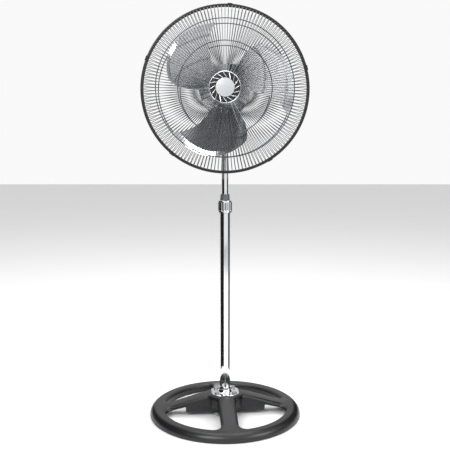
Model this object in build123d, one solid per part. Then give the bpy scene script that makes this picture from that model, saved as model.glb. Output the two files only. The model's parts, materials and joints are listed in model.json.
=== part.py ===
"""Pedestal fan: a wire guard around a three-blade metal fan, on a telescopic pole and a spoked round base.

Frame: +Z up, origin on the floor under the pole, the air leaves towards -Y. Millimetres.
Every piece is its own solid, written to parts/NODE.step.
"""

from build123d import *
from math import asin, atan2, cos, degrees, radians, sin, sqrt
import os

os.makedirs("parts", exist_ok=True)

# ---------------------------------------------------------------- driving dimensions
FIT = 0.05            # radial gap of a hand-assembled round fit
RUNNING = 0.06        # radial gap of a turning or sliding fit
GAP = 0.3             # gap between faces that pass each other
BITE = 0.2            # depth that two welded wires sink into each other
OVERCUT = 1.0         # how far a cutter runs past the faces that it opens

# overall sizes
AXIS_HEIGHT = 1034.0
OUTER_TUBE_TOP = 684.0
GUARD_RADIUS = 252.0
BASE_RADIUS = 241.0

# base
BASE_TURN = 5.0       # the base is not keyed to the head, and stands turned by this angle
SPOKES = 4
RING_WIDTH = 44.0
RING_HEIGHT = 26.0
RING_SHOULDER = 20.0  # rounding of the ring's outer top edge
HUB_RADIUS = 60.0
HUB_HEIGHT = 67.0
HUB_FLAT = 48.0
SLOPE_BLEND = 28.0    # how softly the spokes run into the hub and the ring
SPOKE_WIDTH = 54.0
SPOKE_UNDERSIDE = 30.0
RING_UNDERSIDE = 14.0
SHELL_WALL = 3.5
WINDOW_WALL = 6.0     # thicker round the windows, under their rounded edges
WINDOW_CORNER = 22.0
WINDOW_INNER_CORNER = 14.0
EDGE_ROUND = 11.0
FOOT_RADIUS = 11.0
FOOT_HEIGHT = 12.0
FOOT_PROUD = 2.0

# counterweight under the spokes
WEIGHT_REACH = BASE_RADIUS - 114
WEIGHT_WIDTH = SPOKE_WIDTH - 8
WEIGHT_BOTTOM = 12.0
WEIGHT_BOSS_RADIUS = HUB_RADIUS - 14
WEIGHT_CORNER = 30.0

# pole foot
FLANGE_RADIUS = 48.5
FLANGE_SCREW_DROP = 3.2
FLANGE_THICKNESS = 3.0
SOCKET_WALL = 4.5
SOCKET_HEIGHT = 19.0
TRUMPET = 10.0
FLANGE_BOLT_CIRCLE = FLANGE_RADIUS - 9
FLANGE_BOLT_RADIUS = 4.0
HEX_WIDTH = 13.0      # across flats
HEX_HEIGHT = 5.5
SCALLOP_RADIUS = 24.0

# pole
OUTER_TUBE_RADIUS = 17.0
SOCKET_RADIUS = OUTER_TUBE_RADIUS + SOCKET_WALL
INNER_TUBE_RADIUS = 11.0
TUBE_WALL = 1.2
INNER_TUBE_BOTTOM = OUTER_TUBE_TOP - 234
GUIDE_LENGTH = 30.0
NUT_BOTTOM = OUTER_TUBE_TOP - 32
NUT_HEIGHT = 38.0
NUT_FLUTES = 16
FLUTE_RADIUS = 2.2
FLUTE_DEPTH = 1.4
FLUTE_MARGIN = 6.0    # plain band at each end of the nut
NUT_LIP = 2.2
THREAD_RADIUS = OUTER_TUBE_RADIUS + 3
NUT_RADIUS = THREAD_RADIUS + 3
COLLET_TOP = OUTER_TUBE_TOP + 26
COLLET_FLANGE_RADIUS = OUTER_TUBE_RADIUS + 1
COLLET_FLANGE = 3.5
COLLET_BOTTOM = OUTER_TUBE_TOP - 39
CONE_BOTTOM_RADIUS = INNER_TUBE_RADIUS + 5
CONE_TOP_RADIUS = INNER_TUBE_RADIUS + 3.5
COLLET_SLIT = 2.0

# neck, tilt and swing
TILT_HEIGHT = AXIS_HEIGHT - 94
NECK_BOTTOM = TILT_HEIGHT - 60
NECK_RADIUS = INNER_TUBE_RADIUS + 5.5
NECK_TOP = TILT_HEIGHT - 16
TUBE_TOP = NECK_TOP - 5
CLAMP_RISE = 14.0     # the clamp screw above the neck's lower end
EAR_RADIUS = 12.5
EAR_INNER = 11.0
EAR_THICKNESS = 7.0
TILT_BOLT_RADIUS = 4.0
KNOB_NECK_RADIUS = 9.0
KNOB_NECK = 5.0
TILT_KNOB_RADIUS = 15.0
TILT_KNOB_LENGTH = 20.0
KNOB_RIBS = 8
SWIVEL_RADIUS = 19.0
SWIVEL_BOTTOM = TILT_HEIGHT + 13.5
SWIVEL_THICKNESS = 5.0
PIVOT_RADIUS = 7.0
PIVOT_TOP = TILT_HEIGHT + 60
CLIP_DROP = 2.0       # the clip's groove below the pivot's top
CLIP_THICKNESS = 1.5
CRANK_SETBACK = 34.0  # crank axis behind the swing axis
SWING = 40.0          # either way
CRANK_PIN_RADIUS = 3.0
CRANK_BOTTOM = TILT_HEIGHT + 23
LINK_ANCHOR = (-30.0, 15.0)
LINK_PIN_RADIUS = 3.0
LINK_THICKNESS = 3.0
LINK_EYE_RADIUS = 6.0

# guard
RIM_PLANE = -148.0
FRONT_FACE = RIM_PLANE - 60
MOTOR_FACE = RIM_PLANE + 70
FRONT_SHOULDER = (GUARD_RADIUS - 27, RIM_PLANE - 42)
REAR_SHOULDER = (GUARD_RADIUS - 24, RIM_PLANE + 44.5)
FRONT_BEND = RIM_PLANE - 20
REAR_BEND = RIM_PLANE + 23
GUARD_BEND_RADIUS = 30.0
WIRES = 144
WIRE_RADIUS = 1.0
RIM_WIRE_RADIUS = 2.2
RING_WIRE_RADIUS = 1.5
GUARD_RING_RADII = (GUARD_RADIUS - 114.5, GUARD_RADIUS - 49)
FRONT_WIRE_START = 38.0
REAR_WIRE_START = 58.0
RIM_WALL = 1.6
RIM_LIP = 3.2
RIM_CLIPS = 5
CLIP_LENGTH = 15.0
CLIP_WALL = 1.5
GUARD_CLIP_DEPTH = RIM_WALL + RIM_LIP - 1
REAR_PLATE_RADIUS = 68.0
PLATE_SCREW_CIRCLE = 34.0
PLATE_THICKNESS = 1.2

# badge on the guard
BADGE_RADIUS = 47.5
BACK_PLATE_RADIUS = BADGE_RADIUS - 1.5
BADGE_RIM_WIDTH = 6.5
BADGE_DEPTH = 7.0
BADGE_DISC_RADIUS = 26.0
BADGE_FLOOR = 1.5
BADGE_LEDGE = 3.0     # overlap of the disc on the louvre's floor
BADGE_SCREW_OFFSET = 15.0
BADGE_SCREW_RADIUS = 1.6
BADGE_VANES = 18
VANE_WALL = 1.6
VANE_SLANT = 35.0

# blades
BLADES = 3
BLADE_SHEET = 1.2
BLADE_TIP_RADIUS = GUARD_RADIUS - 47
BLADE_PLANE = -142.0
TIP_ANGLE = 218.0     # first blade's leading tip, anticlockwise from +X as seen from the front
ROOT_ANGLE = 40.0     # middle of the root behind the leading tip
ROOT_RADIUS = 57.0
CORNER_ANGLE = 50.0   # trailing corner behind the tip
TRAILING_ROOT = 84.0  # trailing end of the root behind the tip
LEADING_ROOT = 16.0   # leading end of the root behind the tip
CORNER_ROUND = 20.0
CAMBER_RADIUS = 549.0
CAMBER_OFFSET = 190.0
ARM_THICKNESS = 2.5
ARM_RADIUS = 77.0
ARM_SPAN = 84.0
CUP_RADIUS = 50.0
CUP_HALF_DEPTH = 20.0
RIVET_CIRCLE = 66.0
RIVET_RADIUS = 2.5
RIVET_HEAD = 4.2
RIVET_RISE = 1.6
RIVET_STEP = 16.0

# motor
SHAFT_RADIUS = 4.0
SHAFT_FRONT = BLADE_PLANE - 30
SHAFT_REAR = 52.0
DRIVE_COLLAR_LENGTH = 10.0
SPINNER_LENGTH = 18.0
SPINNER_CROWN = 6.0
ROTOR_RADIUS = 28.0
STATOR_RADIUS = 52.0
WINDING_INSET = 3.0   # middle of the windings inside the middle of the slots
WINDING_LENGTH = 9.0
STATOR_FRONT = -60.0
STATOR_LENGTH = 28.0
STATOR_SLOTS = 12
AIR_GAP = 0.5
BELL_RADIUS = STATOR_RADIUS + 4
BELL_WALL = 3.0
BELL_REAR = -14.0
BELL_REGISTER = 5.0
BUSH_RADIUS = 8.0
BUSH_LENGTH = 12.0
BOSS_RADIUS = 12.0
MOTOR_BOLT_CIRCLE = STATOR_RADIUS - 4
MOTOR_BOLT_RADIUS = 2.0
MOTOR_BOLT_HEAD = 3.6

# casing round the motor
CASING_RADIUS = 78.0
CASING_WALL = 2.5
CASING_FRONT = -64.0
CASING_REAR = 74.0
CASING_REAR_RADIUS = CASING_RADIUS - 20
CASING_DRAFT = 2.0    # how much smaller the casing is where its back starts to round
CASING_RIB = 3.0
CASING_RIB_LENGTH = 14.0
OPENING_LEAD = 26.0   # how far the casing's opening runs in front of the gearbox
OPENING_RISE = 13.0   # top of that opening above the gearbox's floor
CASING_TAPER = 30.0
CASING_OPENING = 46.0

# gearbox
GEARBOX_FLOOR = TILT_HEIGHT + 27.5
GEARBOX_WALL = 3.0
GEARBOX_HALF_WIDTH = 40.0
GEARBOX_REAR = 60.0
GEARBOX_TOP = AXIS_HEIGHT + 16
GEARBOX_CORNER = 4.0
GEAR_MODULE = 1.0
WHEEL_TEETH = 28
PINION_TEETH = 8
CRANK_TEETH = 32
GEAR_PLAY = 0.25
GEAR_WIDTH = 6.0
WHEEL_WIDTH = 8.0
WHEEL_BOSS = 4.0      # boss beyond each face of the worm wheel
WORM_RADIUS = 5.0
WORM_FRONT = 8.0
ARBOR_RADIUS = 2.6
SPINDLE_RADIUS = 2.5
SOCKET_DEPTH = 12.0

# controls
CLUTCH_TRAVEL = 8.0
CLUTCH_KNOB_RADIUS = 9.0
CLUTCH_KNOB_BOTTOM = AXIS_HEIGHT + CASING_RADIUS + 4
CLUTCH_KNOB_HEIGHT = 14.0
SWITCH_HEIGHT = 36.0  # above the fan axis
SWITCH_SIZE = 26.0
SPEED_KNOB_RADIUS = 15.0
SPEED_KNOB_LENGTH = 14.0
GLAND_DROP = 44.0     # below the fan axis
GLAND_RADIUS = 6.0
GLAND_WALL = 3.0
GLAND_LENGTH = 9.0    # behind the casing
SCREW_RADIUS = 2.0
SCREW_HEAD = 4.0
SCREW_DOME = 1.8
COVER_SCREW_X = 32.0
COVER_SCREW_Z = -20.0
CAPACITOR_SIZE = (20.0, 36.0, 34.0)
CAPACITOR_PLACE = (24.0, -4.0)
FOUR_BOLTS = [45 + 90 * k for k in range(4)]


# ---------------------------------------------------------------- helpers
def write(name, *shapes):
    """Writes one node from one or more solids."""
    solids = [s for shape in shapes for s in shape.solids()]
    node = solids[0] if len(solids) == 1 else Compound(solids)
    node.label = name
    export_step(node, f"parts/{name}.step")


def rod(radius, low, high, x=0.0, y=0.0):
    """Upright solid rod between two heights."""
    return Pos(x, y, low) * Cylinder(radius, high - low, align=(Align.CENTER, Align.CENTER, Align.MIN))


def tube(outer, inner, low, high, x=0.0, y=0.0):
    """Upright tube between two heights."""
    return rod(outer, low, high, x, y) - rod(inner, low, high, x, y)


def axial(sketch, y_front, y_rear):
    """Extrudes a sketch of (x, height above the fan axis) between two planes across the fan axis."""
    plane = Plane(origin=(0, y_rear, AXIS_HEIGHT), x_dir=(1, 0, 0), z_dir=(0, -1, 0))
    return extrude(plane * sketch, y_rear - y_front)


def head_rod(radius, y_front, y_rear, x=0.0, z=0.0):
    """Solid rod along the fan axis, x and z off that axis."""
    return axial(Pos(x, z) * Circle(radius), y_front, y_rear)


def head_tube(outer, inner, y_front, y_rear, x=0.0, z=0.0):
    """Tube along the fan axis, x and z off that axis."""
    return axial(Pos(x, z) * (Circle(outer) - Circle(inner)), y_front, y_rear)


def head_revolve(outline):
    """Solid of revolution about the fan axis from an outline of (radius, y)."""
    return Pos(0, 0, AXIS_HEIGHT) * revolve(make_face(outline), Axis.Y)


def head_ring(radius, y, wire):
    """Round wire ring about the fan axis."""
    return Pos(0, y, AXIS_HEIGHT) * Rot(90, 0, 0) * Torus(radius, wire)


def around_head(shape, angle):
    """Copy of a shape turned about the fan axis, anticlockwise as seen from the front."""
    return shape.rotate(Axis((0, 0, AXIS_HEIGHT), (0, -1, 0)), angle)


def polar(radius, angle):
    """x, y of a polar point in degrees."""
    return radius * cos(radians(angle)), radius * sin(radians(angle))


def hexagon(across_flats):
    """Hexagon by its width across flats."""
    return RegularPolygon(across_flats / 2, 6, major_radius=False)


def cross_screw(radius, head_radius, length, head):
    """Round-headed screw, head up, its seat at the origin and its shank going down."""
    screw = rod(radius, -length, 0) + rod(head_radius, 0, head)
    slot = Box(head_radius * 1.2, radius * 0.4, head)
    return screw - Pos(0, 0, head) * slot - Pos(0, 0, head) * Rot(0, 0, 90) * slot


def gear(teeth, width, play=0.0):
    """Spur gear standing on the origin: straight-flanked teeth, thinned so that they run freely."""
    pitch = GEAR_MODULE * teeth / 2
    step = 360 / teeth
    root = pitch - 1.1 * GEAR_MODULE
    tip = pitch + 0.75 * GEAR_MODULE - play
    corners = []
    for k in range(teeth):
        for radius, share in ((root, -0.30), (tip, -0.11), (tip, 0.11), (root, 0.30)):
            corners.append(polar(radius, step * (k + share)))
    return extrude(make_face(Polyline(*corners, close=True)), width)


# ---------------------------------------------------------------- base
RING_INNER = BASE_RADIUS - RING_WIDTH
HUB_CEILING = HUB_HEIGHT - SHELL_WALL
SPOKE_ANGLES = [90 * k for k in range(SPOKES)]


def dish(inset):
    """Outside of the base before its windows are cut, or its inside at an inset."""
    radius = BASE_RADIUS - inset
    top = RING_HEIGHT - inset
    shoulder = RING_SHOULDER - inset
    low = FOOT_PROUD - (1 if inset else 0)
    crown = HUB_HEIGHT - inset
    foot = RING_INNER + SLOPE_BLEND / 2
    outline = Line((0, low), (radius, low)) + Line((radius, low), (radius, top - shoulder))
    outline += JernArc((radius, top - shoulder), (0, 1), shoulder, 90)
    outline += Line((radius - shoulder, top), (foot, top))
    outline += Bezier((foot, top), (foot - SLOPE_BLEND, top), (HUB_FLAT + SLOPE_BLEND, crown),
                      (HUB_FLAT, crown))
    outline += Polyline((HUB_FLAT, crown), (0, crown), (0, low))
    return revolve(Plane.XZ * make_face(outline), Axis.Z)


def windows():
    """Plan of the four openings between the spokes."""
    plan = Circle(RING_INNER) - Circle(HUB_RADIUS)
    for k in range(SPOKES // 2):
        plan -= Rot(0, 0, 90 * k) * Rectangle(2 * BASE_RADIUS, SPOKE_WIDTH)
    inner = [v for v in plan.vertices() if Vector(v.X, v.Y).length < HUB_RADIUS + 1]
    plan = fillet(inner, WINDOW_INNER_CORNER)
    outer = [v for v in plan.vertices() if Vector(v.X, v.Y).length > RING_INNER - 1]
    return fillet(outer, WINDOW_CORNER)


def crowned(edge):
    """True for an edge round the top of a window."""
    middle = edge.position_at(0.5)
    beside_spokes = min(abs(middle.X), abs(middle.Y)) > SPOKE_WIDTH / 2 - 1
    inside_ring = Vector(middle.X, middle.Y).length < RING_INNER + 1
    return beside_spokes and inside_ring and edge.geom_type != GeomType.LINE and middle.Z > RING_HEIGHT - 1


def make_base_shell():
    """Moulded ring with four hollow spokes and a raised hub."""
    openings = windows()
    shell = dish(0) - extrude(openings, HUB_HEIGHT + 10)
    shell = fillet([e for e in shell.edges() if crowned(e)], EDGE_ROUND)
    walls = extrude(offset(openings, WINDOW_WALL), HUB_HEIGHT + 10)
    shell -= dish(SHELL_WALL) - walls
    under = Polyline((0, 0), (0, SPOKE_UNDERSIDE), (WEIGHT_REACH + 8, SPOKE_UNDERSIDE),
                     (RING_INNER + WINDOW_WALL + 1, RING_UNDERSIDE), (RING_INNER + WINDOW_WALL + 1, 0),
                     close=True)
    shell -= revolve(Plane.XZ * make_face(under), Axis.Z) - openings_ring()
    for angle in SPOKE_ANGLES:
        x, y = polar(BASE_RADIUS - RING_WIDTH / 2, angle)
        shell += rod(FOOT_RADIUS, FOOT_HEIGHT, RING_HEIGHT - SHELL_WALL / 2, x, y)
        x, y = polar(FLANGE_BOLT_CIRCLE, angle + 45)
        shell -= rod(FLANGE_BOLT_RADIUS + GAP, HUB_CEILING - OVERCUT, HUB_HEIGHT + OVERCUT, x, y)
    return shell


def openings_ring():
    """The wall that closes the ring off from the spokes' undersides."""
    return tube(RING_INNER + WINDOW_WALL + 2, RING_INNER, FOOT_PROUD, SPOKE_UNDERSIDE)


def make_base_feet():
    """Rubber pads under the ring, one below each spoke."""
    feet = []
    for angle in SPOKE_ANGLES:
        x, y = polar(BASE_RADIUS - RING_WIDTH / 2, angle)
        feet.append(rod(FOOT_RADIUS, 0, FOOT_HEIGHT, x, y))
    return feet


def make_base_weight():
    """Cast cross with a boss that fills the hub."""
    plan = Rectangle(2 * WEIGHT_REACH, WEIGHT_WIDTH) + Rectangle(WEIGHT_WIDTH, 2 * WEIGHT_REACH)
    notches = [v for v in plan.vertices() if Vector(v.X, v.Y).length < WEIGHT_WIDTH]
    plan = fillet(notches, WEIGHT_CORNER)
    cross = extrude(Pos(0, 0, WEIGHT_BOTTOM) * plan, SPOKE_UNDERSIDE - WEIGHT_BOTTOM)
    cross += rod(WEIGHT_BOSS_RADIUS, SPOKE_UNDERSIDE - 1, HUB_CEILING)
    for angle in SPOKE_ANGLES:
        x, y = polar(FLANGE_BOLT_CIRCLE, angle + 45)
        cross -= rod(FLANGE_BOLT_RADIUS + GAP, WEIGHT_BOTTOM - OVERCUT, HUB_CEILING + OVERCUT, x, y)
    return cross


def make_pole_flange():
    """Pressed plate with four lobes and a flared socket for the pole."""
    top = HUB_HEIGHT + FLANGE_THICKNESS
    outline = Polyline((OUTER_TUBE_RADIUS + FIT, HUB_HEIGHT), (FLANGE_RADIUS, HUB_HEIGHT),
                       (FLANGE_RADIUS, top),
                       (SOCKET_RADIUS + TRUMPET, top))
    outline += RadiusArc((SOCKET_RADIUS + TRUMPET, top), (SOCKET_RADIUS, top + TRUMPET), TRUMPET)
    outline += Polyline((SOCKET_RADIUS, top + TRUMPET), (SOCKET_RADIUS, HUB_HEIGHT + SOCKET_HEIGHT),
                        (OUTER_TUBE_RADIUS + FIT, HUB_HEIGHT + SOCKET_HEIGHT),
                        (OUTER_TUBE_RADIUS + FIT, HUB_HEIGHT))
    flange = revolve(Plane.XZ * make_face(outline), Axis.Z)
    for angle in SPOKE_ANGLES:
        x, y = polar(FLANGE_RADIUS + SCALLOP_RADIUS - 6, angle)
        flange -= rod(SCALLOP_RADIUS, HUB_HEIGHT - OVERCUT, top + OVERCUT, x, y)
        x, y = polar(FLANGE_BOLT_CIRCLE, angle + 45)
        flange -= rod(FLANGE_BOLT_RADIUS + GAP, HUB_HEIGHT - OVERCUT, top + OVERCUT, x, y)
    return flange - radial_hole(SCREW_RADIUS + FIT, SOCKET_SCREW_HEIGHT)


def make_flange_bolts():
    """Hexagon bolts down through the flange, the shell and the weight."""
    seat = HUB_HEIGHT + FLANGE_THICKNESS
    bolts = []
    for angle in SPOKE_ANGLES:
        x, y = polar(FLANGE_BOLT_CIRCLE, angle + 45)
        head = extrude(Pos(x, y, seat) * hexagon(HEX_WIDTH), HEX_HEIGHT)
        bolts.append(head + rod(FLANGE_BOLT_RADIUS, FOOT_PROUD + 2, seat, x, y))
    return bolts


def make_flange_nuts():
    """Nuts on the bolts' lower ends, against the weight."""
    nuts = []
    for angle in SPOKE_ANGLES:
        x, y = polar(FLANGE_BOLT_CIRCLE, angle + 45)
        nut = extrude(Pos(x, y, WEIGHT_BOTTOM - HEX_HEIGHT) * hexagon(HEX_WIDTH), HEX_HEIGHT)
        nuts.append(nut - rod(FLANGE_BOLT_RADIUS + FIT, 0, WEIGHT_BOTTOM, x, y))
    return nuts


# ---------------------------------------------------------------- pole
OUTER_BORE = OUTER_TUBE_RADIUS - TUBE_WALL
SOCKET_SCREW_HEIGHT = HUB_HEIGHT + SOCKET_HEIGHT - FLANGE_SCREW_DROP


def make_outer_tube():
    """Fixed lower pole."""
    pole = tube(OUTER_TUBE_RADIUS, OUTER_BORE, HUB_HEIGHT, OUTER_TUBE_TOP)
    return pole - radial_hole(SCREW_RADIUS + FIT, SOCKET_SCREW_HEIGHT)


def radial_hole(radius, height):
    """Cutter towards +Y at a height of the pole."""
    return Pos(0, 0, height) * Rot(-90, 0, 0) * rod(radius, OUTER_BORE - 2, SOCKET_RADIUS + 5)


def make_tube_foot_screw():
    """Screw that locks the pole into its flange from behind."""
    screw = cross_screw(SCREW_RADIUS, SCREW_HEAD - 1, SOCKET_RADIUS - OUTER_BORE + 1, SCREW_DOME)
    return Pos(0, SOCKET_RADIUS, SOCKET_SCREW_HEIGHT) * Rot(-90, 0, 0) * screw


def make_collar_sleeve():
    """Threaded sleeve on the top of the lower pole, drawn at the thread's outer size."""
    return tube(THREAD_RADIUS, OUTER_TUBE_RADIUS + FIT, NUT_BOTTOM - 2, OUTER_TUBE_TOP)


def make_grip_collet():
    """Split bush that grips the sliding tube: guide below, cone above."""
    bore = INNER_TUBE_RADIUS + RUNNING
    collet = tube(OUTER_BORE - FIT, bore, COLLET_BOTTOM, OUTER_TUBE_TOP)
    collet += tube(COLLET_FLANGE_RADIUS, bore, OUTER_TUBE_TOP, OUTER_TUBE_TOP + COLLET_FLANGE)
    rise = COLLET_TOP - OUTER_TUBE_TOP - COLLET_FLANGE
    cone = Cone(CONE_BOTTOM_RADIUS, CONE_TOP_RADIUS, rise, align=(Align.CENTER, Align.CENTER, Align.MIN))
    cone = Pos(0, 0, OUTER_TUBE_TOP + COLLET_FLANGE) * cone
    cone -= rod(bore, OUTER_TUBE_TOP, COLLET_TOP)
    for angle in (0, 90):
        slit = Box(2 * NUT_RADIUS, COLLET_SLIT, rise, align=(Align.CENTER, Align.CENTER, Align.MIN))
        cone -= Pos(0, 0, OUTER_TUBE_TOP + COLLET_FLANGE + 4) * Rot(0, 0, angle + 45) * slit
    return collet + cone


def make_height_nut():
    """Fluted clamping nut over the collet."""
    top = NUT_BOTTOM + NUT_HEIGHT
    nut = rod(NUT_RADIUS, NUT_BOTTOM, top)
    nut = chamfer(nut.edges().filter_by(GeomType.CIRCLE), 1.5)
    for k in range(NUT_FLUTES):
        x, y = polar(NUT_RADIUS + FLUTE_RADIUS - FLUTE_DEPTH, 360 / NUT_FLUTES * k)
        nut -= rod(FLUTE_RADIUS, NUT_BOTTOM + FLUTE_MARGIN, top - FLUTE_MARGIN, x, y)
    nut -= rod(THREAD_RADIUS + RUNNING, NUT_BOTTOM - OVERCUT, top - NUT_LIP)
    return nut - rod(CONE_BOTTOM_RADIUS + GAP, top - NUT_LIP - OVERCUT, top + OVERCUT)


def make_inner_tube():
    """Sliding upper pole."""
    return tube(INNER_TUBE_RADIUS, INNER_TUBE_RADIUS - TUBE_WALL, INNER_TUBE_BOTTOM, TUBE_TOP)


def make_tube_stop():
    """Guide ring on the sliding tube's lower end, which keeps it from being pulled out."""
    return tube(OUTER_BORE - RUNNING, INNER_TUBE_RADIUS + FIT, INNER_TUBE_BOTTOM,
                INNER_TUBE_BOTTOM + GUIDE_LENGTH)


# ---------------------------------------------------------------- neck, tilt and swing
EAR_OUTER = EAR_INNER + EAR_THICKNESS
CLAMP_HEIGHT = NECK_BOTTOM + CLAMP_RISE
SWIVEL_TOP = SWIVEL_BOTTOM + SWIVEL_THICKNESS
LINK_BOTTOM = SWIVEL_TOP + GAP
LINK_TOP = LINK_BOTTOM + LINK_THICKNESS


def cross_rod(radius, x_low, x_high, y=0.0, z=TILT_HEIGHT):
    """Solid rod across the head, along X."""
    return Pos(x_low, y, z) * Rot(0, 90, 0) * rod(radius, 0, x_high - x_low)


def make_neck_socket():
    """Cast neck on the sliding tube with two ears for the tilt bolt."""
    neck = rod(NECK_RADIUS, NECK_BOTTOM, NECK_TOP)
    neck = fillet(neck.edges().filter_by(GeomType.CIRCLE).sort_by(Axis.Z)[0], 2)
    neck -= rod(INNER_TUBE_RADIUS + FIT, NECK_BOTTOM - OVERCUT, TUBE_TOP)
    foot = TILT_HEIGHT - EAR_RADIUS - 2
    bridge = Pos(0, 0, NECK_TOP - 6) * Box(2 * EAR_OUTER, 2 * EAR_RADIUS, foot - NECK_TOP + 6,
                                           align=(Align.CENTER, Align.CENTER, Align.MIN))
    neck += bridge - rod(INNER_TUBE_RADIUS + FIT, NECK_BOTTOM, TUBE_TOP)
    for side in (-1, 1):
        middle = side * (EAR_INNER + EAR_OUTER) / 2
        ear = Pos(middle, 0, (foot + TILT_HEIGHT) / 2) * Box(EAR_THICKNESS, 2 * EAR_RADIUS,
                                                             TILT_HEIGHT - foot)
        ear += cross_rod(EAR_RADIUS, middle - EAR_THICKNESS / 2, middle + EAR_THICKNESS / 2)
        neck += ear
    neck -= cross_rod(TILT_BOLT_RADIUS + FIT, -EAR_OUTER - OVERCUT, EAR_OUTER + OVERCUT)
    hole = Pos(0, 0, CLAMP_HEIGHT) * Rot(-90, 0, 0) * rod(SCREW_RADIUS + FIT, INNER_TUBE_RADIUS,
                                                          NECK_RADIUS + OVERCUT)
    return neck - hole


def make_neck_clamp_screw():
    """Screw that clamps the neck on the tube from behind."""
    length = NECK_RADIUS - INNER_TUBE_RADIUS - FIT
    screw = cross_screw(SCREW_RADIUS, SCREW_HEAD, length, SCREW_DOME)
    return Pos(0, NECK_RADIUS, CLAMP_HEIGHT) * Rot(-90, 0, 0) * screw


def make_tilt_bolt():
    """Bolt through both ears and the knuckle."""
    end = EAR_OUTER + GAP + KNOB_NECK + TILT_KNOB_LENGTH * 0.6
    bolt = cross_rod(TILT_BOLT_RADIUS, -EAR_OUTER, end)
    head = Pos(-EAR_OUTER, 0, TILT_HEIGHT) * Rot(0, -90, 0) * extrude(hexagon(HEX_WIDTH), HEX_HEIGHT)
    return bolt + head


def make_tilt_knob():
    """Ribbed hand knob on the tilt bolt."""
    start = EAR_OUTER + GAP
    knob = cross_rod(KNOB_NECK_RADIUS, start, start + KNOB_NECK)
    grip = cross_rod(TILT_KNOB_RADIUS, start + KNOB_NECK, start + KNOB_NECK + TILT_KNOB_LENGTH)
    grip = chamfer(grip.edges().filter_by(GeomType.CIRCLE), 1.5)
    for k in range(KNOB_RIBS):
        y, z = polar(TILT_KNOB_RADIUS + 2.5, 360 / KNOB_RIBS * (k + 0.5))
        grip -= cross_rod(4, start, start + KNOB_NECK + TILT_KNOB_LENGTH + OVERCUT, y, TILT_HEIGHT + z)
    knob += grip
    return knob - cross_rod(TILT_BOLT_RADIUS + RUNNING, start - OVERCUT,
                            start + KNOB_NECK + TILT_KNOB_LENGTH * 0.6 + GAP)


def make_tilt_knuckle():
    """Knuckle between the ears, with the swivel plate, the pivot post and the link's arm."""
    tongue_half = EAR_INNER - GAP
    knuckle = cross_rod(EAR_RADIUS, -tongue_half, tongue_half)
    web = Box(2 * tongue_half, 2 * EAR_RADIUS - 4, SWIVEL_BOTTOM - TILT_HEIGHT,
              align=(Align.CENTER, Align.CENTER, Align.MIN))
    knuckle += Pos(0, 0, TILT_HEIGHT) * web
    knuckle += rod(SWIVEL_RADIUS, SWIVEL_BOTTOM, SWIVEL_TOP)
    arm = make_hull([*Circle(LINK_EYE_RADIUS).edges(),
                     *(Pos(*LINK_ANCHOR) * Circle(LINK_EYE_RADIUS)).edges()])
    knuckle += extrude(Pos(0, 0, SWIVEL_BOTTOM) * arm, SWIVEL_THICKNESS)
    knuckle += rod(PIVOT_RADIUS, SWIVEL_TOP, PIVOT_TOP)
    groove = tube(PIVOT_RADIUS + 1, PIVOT_RADIUS - 1, PIVOT_TOP - CLIP_DROP - CLIP_THICKNESS,
                  PIVOT_TOP - CLIP_DROP)
    knuckle -= groove
    knuckle -= rod(LINK_PIN_RADIUS + FIT, SWIVEL_BOTTOM - OVERCUT, SWIVEL_TOP + OVERCUT, *LINK_ANCHOR)
    return knuckle - cross_rod(TILT_BOLT_RADIUS + RUNNING, -EAR_INNER, EAR_INNER)


def make_pivot_clip():
    """Open clip in the pivot's groove that holds the head down."""
    low = PIVOT_TOP - CLIP_DROP - CLIP_THICKNESS
    clip = tube(PIVOT_RADIUS + 3, PIVOT_RADIUS - 1 + FIT, low + FIT, low + CLIP_THICKNESS - FIT)
    return clip - Pos(PIVOT_RADIUS, 0, low) * Box(2 * PIVOT_RADIUS, PIVOT_RADIUS,
                                                  2 * CLIP_THICKNESS + OVERCUT)


def make_link_pin():
    """Pin that the swing link turns on."""
    head_bottom = LINK_TOP + FIT
    pin = rod(LINK_PIN_RADIUS, SWIVEL_BOTTOM, head_bottom + 0.8, *LINK_ANCHOR)
    return pin + rod(LINK_PIN_RADIUS + 1.5, head_bottom, head_bottom + 0.8, *LINK_ANCHOR)


def anchor_distance(swing):
    """Distance from the link's pin to the crank's axis with the head swung to an angle."""
    axis = Vector(CRANK_SETBACK * cos(radians(90 + swing)), CRANK_SETBACK * sin(radians(90 + swing)))
    return (axis - Vector(*LINK_ANCHOR)).length


# at the two ends of the swing the link and the crank lie in one line
CRANK_THROW = (anchor_distance(-SWING) - anchor_distance(SWING)) / 2
LINK_LENGTH = (anchor_distance(-SWING) + anchor_distance(SWING)) / 2


def crank_position():
    """Crank pin's place at rest, the apex of the triangle on the anchor and the crank's axis."""
    anchor = Vector(*LINK_ANCHOR)
    base = Vector(0, CRANK_SETBACK) - anchor
    along = (LINK_LENGTH ** 2 - CRANK_THROW ** 2 + base.length ** 2) / (2 * base.length)
    aside = sqrt(LINK_LENGTH ** 2 - along ** 2)
    unit = base / base.length
    return anchor + unit * along + Vector(-unit.Y, unit.X) * aside


def make_swing_link():
    """Flat link from the knuckle's arm to the crank."""
    pin = crank_position()
    ends = [Pos(*LINK_ANCHOR) * Circle(LINK_EYE_RADIUS), Pos(pin.X, pin.Y) * Circle(LINK_EYE_RADIUS)]
    plan = make_hull([edge for end in ends for edge in end.edges()])
    link = extrude(Pos(0, 0, LINK_BOTTOM) * plan, LINK_THICKNESS)
    link -= rod(LINK_PIN_RADIUS + RUNNING, LINK_BOTTOM - OVERCUT, LINK_TOP + OVERCUT, *LINK_ANCHOR)
    return link - rod(CRANK_PIN_RADIUS + RUNNING, LINK_BOTTOM - OVERCUT, LINK_TOP + OVERCUT, pin.X, pin.Y)


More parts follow.
